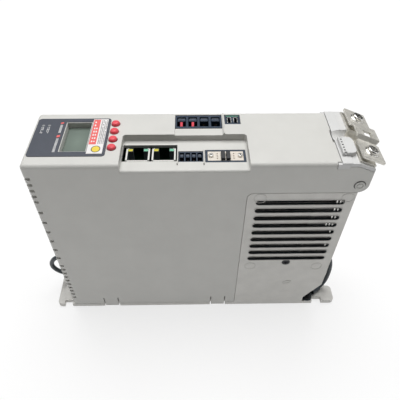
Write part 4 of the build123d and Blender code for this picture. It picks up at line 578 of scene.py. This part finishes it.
# %% [markdown]
# ## What every node tree here shares
# Printed marks and the lips of a grille repeat, so Geometry Nodes make them. Each tree begins with
# named inputs for its sizes and ends by making its instances real and giving them their material.
# A tree runs once on an empty carrier, and its result is kept as a plain mesh, so that no modifier
# is left on the piece. The inputs are set by the sockets' identifiers, which stay unique when two
# inputs have the same name.

# %% Helpers for node trees
def start_tree(name, sizes):
    """An empty node tree with one named input for each size, and its two end nodes."""
    tree = bpy.data.node_groups.new(name, "GeometryNodeTree")
    tree.interface.new_socket("Geometry", in_out="INPUT", socket_type="NodeSocketGeometry")
    for size, value in sizes.items():
        kind = "NodeSocketInt" if isinstance(value, int) else "NodeSocketFloat"
        tree.interface.new_socket(size, in_out="INPUT", socket_type=kind).default_value = value
    tree.interface.new_socket("Material", in_out="INPUT", socket_type="NodeSocketMaterial")
    tree.interface.new_socket("Geometry", in_out="OUTPUT", socket_type="NodeSocketGeometry")
    return tree, tree.nodes.new("NodeGroupInput"), tree.nodes.new("NodeGroupOutput")


def finish_tree(tree, source, sink, instances):
    """Make instances real and give them the material."""
    real = tree.nodes.new("GeometryNodeRealizeInstances")
    paint = tree.nodes.new("GeometryNodeSetMaterial")
    link(tree, instances, real.inputs["Geometry"])
    link(tree, real.outputs["Geometry"], paint.inputs["Geometry"])
    link(tree, source.outputs["Material"], paint.inputs["Material"])
    link(tree, paint.outputs["Geometry"], sink.inputs["Geometry"])


def grow(name, tree, sizes, finish, place=Matrix.Identity(4)):
    """Run a tree with its sizes set and return the plain mesh it makes, put in its place."""
    carrier = bpy.data.objects.new(name, bpy.data.meshes.new(name))
    bpy.context.scene.collection.objects.link(carrier)
    modifier = carrier.modifiers.new("grow", "NODES")
    modifier.node_group = tree
    values = {**sizes, "Material": finishes[finish]}
    for socket in tree.interface.items_tree:
        if socket.in_out == "INPUT" and socket.name in values:
            modifier[socket.identifier] = values[socket.name]
    graph = bpy.context.evaluated_depsgraph_get()
    mesh = bpy.data.meshes.new_from_object(carrier.evaluated_get(graph))
    bpy.data.objects.remove(carrier)
    mesh.transform(place)
    mesh.name = name
    return mesh


def combined(tree, x, y, z):
    """A vector from three node outputs."""
    vector = tree.nodes.new("ShaderNodeCombineXYZ")
    for socket, output in zip(vector.inputs, (x, y, z)):
        if output is not None:
            link(tree, output, socket)
    return vector.outputs["Vector"]


print("tree helpers ready")

# %% [markdown]
# ## Printed marks
# The overlay and the label are screen-printed. A printed mark is a film of ink a few hundredths of
# a millimetre thick, so it can be real geometry that lies on the film. Rows of dashes stand for
# legends: they are a grid of points with a small bar on each, which a tree makes from the number of
# rows, the size of the field and a fixed seed that drops some bars and shortens others.

# %% Node tree for rows of dashes
DASH_SIZES = {
    "Rows": 2, "Dashes": 4, "Field Width": 0.002, "Field Length": 0.01, "Bar Width": 0.0003,
    "Bar Length": 0.001, "Bar Height": 0.00004, "Shortest": 0.6, "Kept": 1.0, "Seed": 3,
}


def dash_tree():
    """A grid of small bars. Bars lie along Y, and rows follow each other along X."""
    tree, source, sink = start_tree("dash_rows", DASH_SIZES)
    get = source.outputs
    grid = tree.nodes.new("GeometryNodeMeshGrid")
    grid_sizes = {
        "Size X": "Field Width", "Size Y": "Field Length", "Vertices X": "Rows", "Vertices Y": "Dashes",
    }
    for socket, size in grid_sizes.items():
        link(tree, get[size], grid.inputs[socket])
    bar = tree.nodes.new("GeometryNodeMeshCube")
    link(tree, combined(tree, get["Bar Width"], get["Bar Length"], get["Bar Height"]), bar.inputs["Size"])
    keep = tree.nodes.new("FunctionNodeRandomValue")
    keep.data_type = "BOOLEAN"
    link(tree, get["Kept"], keep.inputs["Probability"])
    link(tree, get["Seed"], keep.inputs["Seed"])
    stretch = tree.nodes.new("FunctionNodeRandomValue")
    link(tree, get["Shortest"], stretch.inputs[2])
    link(tree, get["Seed"], stretch.inputs["Seed"])
    scale = combined(tree, None, stretch.outputs[1], None)
    scale.node.inputs[0].default_value = 1.0
    scale.node.inputs[2].default_value = 1.0
    spread = tree.nodes.new("GeometryNodeInstanceOnPoints")
    link(tree, grid.outputs["Mesh"], spread.inputs["Points"])
    link(tree, bar.outputs["Mesh"], spread.inputs["Instance"])
    link(tree, keep.outputs[3], spread.inputs["Selection"])
    link(tree, scale, spread.inputs["Scale"])
    finish_tree(tree, source, sink, spread.outputs["Instances"])
    return tree


dash_rows = dash_tree()


def print_dashes(name, middle, finish, body="housing", **sizes):
    """Rows of dashes round a middle place in millimetres. Sizes in millimetres go by name."""
    lengths = {key.replace("_", " "): value for key, value in sizes.items()}
    for key, value in lengths.items():
        if key.startswith(("Field", "Bar")):
            lengths[key] = value * MM
    place = Matrix.Translation(Vector(middle) * MM)
    return add_piece(name, grow(name, dash_rows, lengths, finish, place), finish, body)


print("dash tree with", len(DASH_SIZES), "sizes")

# %% [markdown]
# ### Marks on the overlay
# Beside each status light stand a few short strokes, and along the window runs a scale of light
# strokes with two coral tabs. They are plain strokes, with no letters.

# %% Overlay marks
INK_LIFT, INK_TOP, LIGHT_INSET, LEGEND_REACH, SCALE_GAP = 0.02, 0.03, 0.9, 3.8, 1.5
SCALE_BARS = {
    "Rows": 1, "Field_Width": 1.0, "Bar_Width": 1.5, "Bar_Length": 0.5,
    "Bar_Height": 0.04, "Shortest": 0.9, "Kept": 1.0,
}
ink_z = box_mm("display_overlay")[1].z + INK_LIFT
lights_low, lights_high = box_mm("status_light_pipes")
for number, x in enumerate((lights_low.x + LIGHT_INSET, lights_high.x - LIGHT_INSET), start=1):
    print_dashes(
        f"light_legend_{number}", (x, lights_low.y - LEGEND_REACH, ink_z), "white_ink",
        Rows=2, Dashes=4, Field_Width=0.9, Field_Length=4.6, Bar_Width=0.45, Bar_Length=1.15,
        Bar_Height=0.04, Shortest=0.5, Kept=0.9, Seed=number,
    )
scale_x = box_mm("lcd_glass")[0].x - SCALE_GAP
for side, y, dashes, length, seed in (("near", -7.2, 12, 11.5, 8), ("far", 8.3, 8, 7.0, 5)):
    print_dashes(
        f"window_scale_{side}", (scale_x, y, ink_z), "white_ink",
        Dashes=dashes, Field_Length=length, Seed=seed, **SCALE_BARS,
    )
TAB_PLACES, TAB_HALF_WIDTH, TAB_SLANT = ((1.2, 2.4), (14.0, 1.8)), 0.9, 0.5


def coral_tabs():
    """Two slanted tabs, each with its middle and its length along Y."""
    shell = bmesh.new()
    left, right = scale_x - TAB_HALF_WIDTH, scale_x + TAB_HALF_WIDTH
    for y, length in TAB_PLACES:
        start, end = y - length / 2, y + length / 2
        corners = [(left, start), (right, start + TAB_SLANT), (right, end), (left, end - TAB_SLANT)]
        add_prism(shell, corners, ink_z - INK_LIFT, ink_z + INK_TOP)
    return settle("coral_tabs", shell, "coral_ink")


coral_tabs()
print("overlay marks at x", round(scale_x, 1), "mm")

# %% [markdown]
# ### Marks on the label
# The label has a coral band, a white field with grey rows and one plain yellow disc. The band is
# a print of its own with white strokes on it.

# %% Label marks
BAND_SPAN, BAND_NEAR, BAND_FAR, BORDER_WIDTH, ROWS_INSET = (0.3, 4.4), 8.2, 0.5, 1.15, 3.2
DISC_PLACE, DISC_RADII, DISC_INSET = (5.0, 4.0), (2.7, 2.9), 0.84
label_low, label_high = box_mm("info_label")
label_z = label_high.z
band_x = [label_low.x + reach for reach in BAND_SPAN]
band_y = [label_low.y + BAND_NEAR, label_high.y - BAND_FAR]


def label_prints():
    """Thin prints over the label, each a little higher than the one it covers."""
    band = bmesh.new()
    (left, right), (near, far) = band_x, band_y
    add_prism(band, [(left, near), (right, near), (right, far), (left, far)], label_z, label_z + 0.03)
    settle("label_band", band, "coral_ink")
    tile = bmesh.new()
    middle = (label_low.x + DISC_PLACE[0], label_low.y + DISC_PLACE[1])
    turns = [2 * math.pi * step / RING_STEPS for step in range(RING_STEPS)]
    outline = [(DISC_RADII[0] * math.cos(turn), DISC_RADII[1] * math.sin(turn)) for turn in turns]
    add_prism(tile, [(middle[0] + x, middle[1] + y) for x, y in outline], label_z, label_z + 0.02)
    settle("label_tile_edge", tile, "black_ink")
    border = bmesh.new()
    low = (label_high.x - BORDER_WIDTH, label_low.y - 0.1, label_z - 0.01)
    add_bar(border, low, (label_high.x, label_high.y, label_z + 0.02))
    settle("label_border", border, "slate_film")
    inner = bmesh.new()
    inset = [(middle[0] + x * DISC_INSET, middle[1] + y * DISC_INSET) for x, y in outline]
    add_prism(inner, inset, label_z + 0.01, label_z + 0.04)
    settle("label_tile", inner, "yellow_ink")


label_prints()
band_middle = (sum(band_x) / 2, sum(band_y) / 2)
print_dashes(
    "band_strokes", (*band_middle, label_z + 0.04), "white_ink",
    Rows=2, Dashes=7, Field_Width=1.3, Field_Length=18.5, Bar_Width=0.8, Bar_Length=1.7,
    Bar_Height=0.03, Shortest=0.5, Kept=0.85, Seed=11,
)
print_dashes(
    "label_rows", (label_high.x - ROWS_INSET, band_middle[1], label_z + 0.02), "grey_ink",
    Rows=4, Dashes=17, Field_Width=2.9, Field_Length=21.5, Bar_Width=0.5, Bar_Length=1.3,
    Bar_Height=0.03, Shortest=0.6, Kept=0.93, Seed=21,
)
print("label band", [round(value, 1) for value in band_x], "mm")

# %% [markdown]
# ## Casting marks
# A die casting carries the marks of its tool. The round marks are read as those of ejector pins,
# and the small oval as the frame of a cavity number. They are shallow raised rings with sloped
# sides, on the near wall and the same on the far wall.

# %% Casting marks
PIN_MARKS = ((37.3, 53.8), (85.5, 52.6), (37.0, 124.6), (90.0, 124.6))
PIN_MARK_RADIUS, OVAL_PLACE, OVAL_RADII = 3.8, (67.1, 32.0), (3.2, 1.5)
WALL_Y = 25.0
OVAL_TURN = math.radians(24)


def casting_marks():
    shell = bmesh.new()
    for side in (-1, 1):
        out = Vector((0, side, 0))
        for x, z in PIN_MARKS:
            axes = (Vector((1, 0, 0)), Vector((0, 0, 1)), out)
            add_ring(shell, (x, side * WALL_Y, z), axes, (PIN_MARK_RADIUS,) * 2, 0.5, 0.14)
        slanted = Vector((math.cos(OVAL_TURN), 0, math.sin(OVAL_TURN)))
        upright = Vector((-math.sin(OVAL_TURN), 0, math.cos(OVAL_TURN)))
        middle = (OVAL_PLACE[0], side * WALL_Y, OVAL_PLACE[1])
        add_ring(shell, middle, (slanted, upright, out), OVAL_RADII, 0.7, 0.18)
    return settle("casting_marks", shell, "cast_aluminium")


casting_marks()
print("casting marks:", 2 * (len(PIN_MARKS) + 1))

# %% [markdown]
# ## Rolled lips of the grille
# Each slot of the grille has a rounded lip that a tumbled casting keeps. A lip follows the slot's
# outline, and nine slots repeat at one pitch on both walls: a rounded rectangle curve is swept with
# a thin round profile and put on a line of points. The pitch, size and count are inputs of the tree.

# %% Grille lips
LIP_SIZES = {
    "Length": 0.0552, "Height": 0.0044, "Corner": 0.00219, "Lip": 0.0003, "Count": 9, "Pitch": 0.0072,
}
LIP_CORNER_STEPS, LIP_PROFILE_STEPS = 8, 8
LIP_Y, SLOT_MIDDLE_X, LOWEST_SLOT_Z = 24.98, 61.9, 63.2


def set_input(holder, title, value):
    """Set an unlinked input, found by its title."""
    for socket in holder.inputs:
        if socket.name == title:
            socket.default_value = value


def lip_tree():
    """Rounded outlines swept with a thin round profile, in the XZ plane, on a line along Z."""
    tree, source, sink = start_tree("grille_lips", LIP_SIZES)
    get = source.outputs
    outline = tree.nodes.new("GeometryNodeCurvePrimitiveQuadrilateral")
    link(tree, get["Length"], outline.inputs["Width"])
    link(tree, get["Height"], outline.inputs["Height"])
    round_ends = tree.nodes.new("GeometryNodeFilletCurve")
    round_ends.mode = "POLY"
    set_input(round_ends, "Count", LIP_CORNER_STEPS)
    set_input(round_ends, "Limit Radius", True)
    link(tree, outline.outputs["Curve"], round_ends.inputs["Curve"])
    link(tree, get["Corner"], round_ends.inputs["Radius"])
    profile = tree.nodes.new("GeometryNodeCurvePrimitiveCircle")
    profile.inputs["Resolution"].default_value = LIP_PROFILE_STEPS
    link(tree, get["Lip"], profile.inputs["Radius"])
    sweep = tree.nodes.new("GeometryNodeCurveToMesh")
    link(tree, round_ends.outputs["Curve"], sweep.inputs["Curve"])
    link(tree, profile.outputs["Curve"], sweep.inputs["Profile Curve"])
    row = tree.nodes.new("GeometryNodeMeshLine")
    row.mode = "OFFSET"
    link(tree, get["Count"], row.inputs["Count"])
    link(tree, combined(tree, None, get["Pitch"], None), row.inputs["Offset"])
    spread = tree.nodes.new("GeometryNodeInstanceOnPoints")
    link(tree, row.outputs["Mesh"], spread.inputs["Points"])
    link(tree, sweep.outputs["Mesh"], spread.inputs["Instance"])
    finish_tree(tree, source, sink, spread.outputs["Instances"])
    return tree


grille_lips = lip_tree()


def line_slots(kind, sizes, y, finish):
    """The row of outlines at a depth y, on the near wall and on the far wall."""
    for side, depth in (("near", -y), ("far", y)):
        name = f"{kind}_{side}"
        place = Matrix.Translation(Vector((SLOT_MIDDLE_X, depth, LOWEST_SLOT_Z)) * MM)
        upright = place @ Matrix.Rotation(math.pi / 2, 4, "X")
        add_piece(name, grow(name, grille_lips, sizes, finish, upright), finish)


line_slots("grille_lips", LIP_SIZES, LIP_Y, "cast_aluminium")
print("grille lips:", LIP_SIZES["Count"], "on each wall")

# %% [markdown]
# ## Painted shade in the grille
# The slots look dark right up to their lips. A bare casting would show a lit lower face there, so
# a dark sheet in the sleeve finish stands behind each lip: it is painted shade for the duct's
# shadowed interior, not a piece that can be seen. It follows the same outline, deeper and thicker,
# so the same tree makes it from other sizes.

# %% Grille painted shade
SHADE_SHEET_SIZES, SHADE_SHEET_Y = {**LIP_SIZES, "Lip": 0.00062}, 23.95
# dark sheets behind the lips: painted shade inside the slots
line_slots("grille_shade_sheets", SHADE_SHEET_SIZES, SHADE_SHEET_Y, "lead_sleeve")
print("grille seals:", SHADE_SHEET_SIZES["Count"], "on each wall")

# %% [markdown]
# ## Webs in the hood's corners
# The casting's upper corner is rounded, and the hood follows it with a small web, so that the seam
# between them keeps one width round the bend. The web is a flat plate with one concave side.

# %% Corner webs
WEB_CORNER, WEB_CENTRE, WEB_RADIUS, WEB_STEPS = (28.55, 129.45), (33.0, 125.0), 4.3, 12
WEB_INSIDE_Y = 24.2


def corner_webs():
    shell = bmesh.new()
    for low, high in ((WEB_INSIDE_Y, WALL_Y), (-WALL_Y, -WEB_INSIDE_Y)):
        outline = [WEB_CORNER]
        for step in range(WEB_STEPS + 1):
            turn = math.pi / 2 + math.pi / 2 * step / WEB_STEPS
            x = WEB_CENTRE[0] + WEB_RADIUS * math.cos(turn)
            outline.append((x, WEB_CENTRE[1] + WEB_RADIUS * math.sin(turn)))
        add_prism(shell, outline, low, high)
    bmesh.ops.transform(shell, matrix=Matrix.Rotation(math.pi / 2, 4, "X"), verts=shell.verts)
    return settle("corner_webs", shell, "housing_plastic")


corner_webs()
print("corner webs of radius", WEB_RADIUS, "mm")

# %% [markdown]
# ## Emboss on the clamp plate
# Beside the far screw the clamp plate has a small pressed triangle. It is two thin prisms, one on
# the other, in the plate's own sloped plane, and it rides with the clamp, so it lifts when the
# screws are turned out.

# %% Clamp emboss
SLOPE_TURN = math.radians(22.6)
SLOPE_START = Vector((90.0, 0.0, 152.0)) * MM
SLOPE_PLACE = Matrix.Translation(SLOPE_START) @ Matrix.Rotation(SLOPE_TURN, 4, "Y")
PLATE_TOP = 4.3
EMBOSS_CORNERS, EMBOSS_MIDDLE = ((4.2, 8.6), (12.4, 8.8), (8.6, 13.2)), (8.4, 10.2)
EMBOSS_STEPS = ((1.0, 0.16), (0.6, 0.3))


def clamp_emboss():
    shell = bmesh.new()
    for scale, rise in EMBOSS_STEPS:
        outline = [[m + (c - m) * scale for c, m in zip(corner, EMBOSS_MIDDLE)] for corner in EMBOSS_CORNERS]
        add_prism(shell, outline, PLATE_TOP - 0.02, PLATE_TOP + rise)
    bmesh.ops.transform(shell, matrix=SLOPE_PLACE, verts=shell.verts)
    return settle("clamp_emboss", shell, "zinc_clamp", "clamp")


clamp_emboss()
print("clamp emboss in", len(EMBOSS_STEPS), "steps")

# %% [markdown]
# ## Parts on the control board
# Through the openings round the connectors a little of the control board can show. Which parts it
# carries is a guess: rows of small dark packages and light end-capped chips, made by the same tree
# of bars as the printed marks.

# %% Board parts
board_top = box_mm("control_board")[1].z
print_dashes(
    "board_packages", (-30.0, -18.9, board_top + 0.45), "black_plastic",
    Rows=11, Dashes=2, Field_Width=26.0, Field_Length=1.6, Bar_Width=1.6, Bar_Length=1.0,
    Bar_Height=0.9, Shortest=0.7, Kept=0.75, Seed=4,
)
print_dashes(
    "board_chips", (46.0, 0.0, board_top + 0.3), "tin_steel",
    Rows=9, Dashes=12, Field_Width=24.0, Field_Length=34.0, Bar_Width=1.0, Bar_Length=1.8,
    Bar_Height=0.6, Shortest=0.6, Kept=0.6, Seed=9,
)
print("board parts at z", round(board_top, 1), "mm")

# %% [markdown]
# ## Rings of the snap rivets
# A dark line runs round the head of each snap rivet: the shadow in the gap between the head and
# its seat. A thin black ring round each head paints that shade: the sloped ring of the casting marks, in
# black.

# %% Rivet rings
RIVET_PLACE, RIVET_GAP_RADIUS = (94.3, 135.2), 3.25


def rivet_rings():
    shell = bmesh.new()
    for side in (-1, 1):
        middle = (RIVET_PLACE[0], side * WALL_Y, RIVET_PLACE[1])
        axes = (Vector((1, 0, 0)), Vector((0, 0, 1)), Vector((0, side, 0)))
        add_ring(shell, middle, axes, (RIVET_GAP_RADIUS,) * 2, 0.5, 0.08)
    # black rings: painted shade of the gap round each rivet head
    return settle("rivet_gap_shade_rings", shell, "black_plastic")


rivet_rings()
print("rivet rings of radius", RIVET_GAP_RADIUS, "mm")

# %% [markdown]
# ## Washers under the clamp screws
# Each clamp screw is taken to carry a washer that is wider than its head, which is a guess. It is
# two flat rings, one on the other, in the plate's sloped plane: a plain and a spring washer.

# %% Clamp washers
SCREW_LOCAL_X, SCREW_LOCAL_Y = 7.65, 15.85
WASHERS = ((4.35, 1.5, 0.28), (3.95, 0.9, 0.50))


def clamp_washers():
    shell = bmesh.new()
    along, across, out = Vector((1, 0, 0)), Vector((0, 1, 0)), Vector((0, 0, 1))
    for side in (-1, 1):
        for radius, width, height in WASHERS:
            middle = (SCREW_LOCAL_X, side * SCREW_LOCAL_Y, PLATE_TOP)
            radii = (radius - width / 2,) * 2
            add_ring(shell, middle, (along, across, out), radii, width, height)
    bmesh.ops.transform(shell, matrix=SLOPE_PLACE, verts=shell.verts)
    return settle("clamp_washers", shell, "nickel_steel", "clamp")


clamp_washers()
print("clamp washers:", 2 * len(WASHERS))

# %% [markdown]
# ## Spring clips in the grille
# Bright glints show at the right-hand end of several slots. What makes them can't be told from
# outside, so they are read as the bent ends of spring clips that hold something in the duct, and
# that is a guess. Each is a small bar just inside the mouth of a slot, and the number in each slot
# is listed from the top.

# %% Clip ends
CLIP_COUNTS = (2, 2, 2, 3, 1, 0, 1, 0, 0)
CLIP_X, CLIP_STEP, CLIP_HALF_WIDTH, CLIP_Y = 86.9, 2.1, 0.38, (23.5, 24.3)
CLIP_BELOW, CLIP_ABOVE, CLIP_RISE = 1.9, 0.5, 0.4


def clip_ends():
    shell = bmesh.new()
    pitch = LIP_SIZES["Pitch"] / MM
    for side in (-1, 1):
        for row, count in enumerate(CLIP_COUNTS):
            z = LOWEST_SLOT_Z + (len(CLIP_COUNTS) - 1 - row) * pitch
            for number in range(count):
                x = CLIP_X - number * CLIP_STEP
                near, far = sorted((side * CLIP_Y[0], side * CLIP_Y[1]))
                low = (x - CLIP_HALF_WIDTH, near, z - CLIP_BELOW)
                add_bar(shell, low, (x + CLIP_HALF_WIDTH, far, z + CLIP_ABOVE + CLIP_RISE * number))
    return settle("clip_ends", shell, "nickel_steel")


clip_ends()
print("clip ends:", 2 * sum(CLIP_COUNTS))

# %% [markdown]
# ## Outlines in the sockets
# Two lit outlines and a green line show on the brake header. They are read as the edges of its two
# mouths and as its latch, which is a guess. Each outline is a thin frame of three bars, open towards
# the near side, and it stands a tenth of a millimetre proud of the rim.

# %% Socket outlines
OUTLINE_WIDTH, OUTLINE_SINK, OUTLINE_HEIGHT = 0.45, 0.05, 0.15
MOUTH_INSET, MOUTH_GAP, MOUTH_NEAR, MOUTH_FAR = 1.4, 0.6, 1.8, 2.0
LATCH_INSET, LATCH_Y, LATCH_RISE = 0.8, (1.0, 0.5), 0.12


def u_frame(shell, low, high, thick, z, height):
    """Three bars round a mouth, open towards the near side."""
    add_bar(shell, (low[0], low[1], z), (low[0] + thick, high[1], z + height))
    add_bar(shell, (high[0] - thick, low[1], z), (high[0], high[1], z + height))
    add_bar(shell, (low[0], high[1] - thick, z), (high[0], high[1], z + height))


def socket_outlines():
    brake = bmesh.new()
    low, high = box_mm("brake_header")
    middle_x = (low.x + high.x) / 2
    mouths = ((low.x + MOUTH_INSET, middle_x - MOUTH_GAP), (middle_x + MOUTH_GAP, high.x - MOUTH_INSET))
    base = high.z - OUTLINE_SINK
    for start, end in mouths:
        corners = (start, low.y + MOUTH_NEAR), (end, high.y - MOUTH_FAR)
        u_frame(brake, *corners, OUTLINE_WIDTH, base, OUTLINE_HEIGHT)
    settle("brake_outlines", brake, "tin_steel")
    latch = bmesh.new()
    near, far = (high.y - inset for inset in LATCH_Y)
    add_bar(latch, (low.x + LATCH_INSET, near, base), (high.x - LATCH_INSET, far, high.z + LATCH_RISE))
    settle("brake_latch", latch, "led_green")


socket_outlines()
print("socket outlines of", OUTLINE_WIDTH, "mm")

# %% [markdown]
# ## Keying blocks
# The far half of each motor and signal socket looks lit, not black, so something fills it a little
# below the rim. It is taken to be a keying block, which lets only the right plug in, and that is a
# guess. The contact keeps the near half. A lighter strip along each block's top far edge is a painted
# highlight, where light catches the edge.

# %% Keying blocks
MOTOR_POLES = [-10.25 + 7.0 * pole for pole in range(4)]
SIGNAL_POLES = [-9.9 + 3.5 * pole for pole in range(4)]
KEYING = ((MOTOR_POLES, 2.45, (16.9, 19.6), 150.9), (SIGNAL_POLES, 1.0, (-12.0, -9.6), 146.5))
BLOCK_DEPTH, EDGE_SHARE, EDGE_Y, EDGE_Z = 6.0, 0.8, (0.45, 0.2), (-0.1, 0.06)


def keying_blocks():
    """Blocks with their middles along X, half width, reach along Y and top, and a painted highlight strip
    along the edge of each.
    """
    shell, edges = bmesh.new(), bmesh.new()
    for middles, half, (near, far), top in KEYING:
        for x in middles:
            add_bar(shell, (x - half, near, top - BLOCK_DEPTH), (x + half, far, top))
            low = (x - half * EDGE_SHARE, far - EDGE_Y[0], top + EDGE_Z[0])
            add_bar(edges, low, (x + half * EDGE_SHARE, far - EDGE_Y[1], top + EDGE_Z[1]))
    settle("keying_blocks", shell, "navy_plastic")
    # light strips on the block edges: painted highlight
    settle("keying_highlight_edges", edges, "pad_silicone")


keying_blocks()
print("keying blocks:", len(MOTOR_POLES) + len(SIGNAL_POLES))
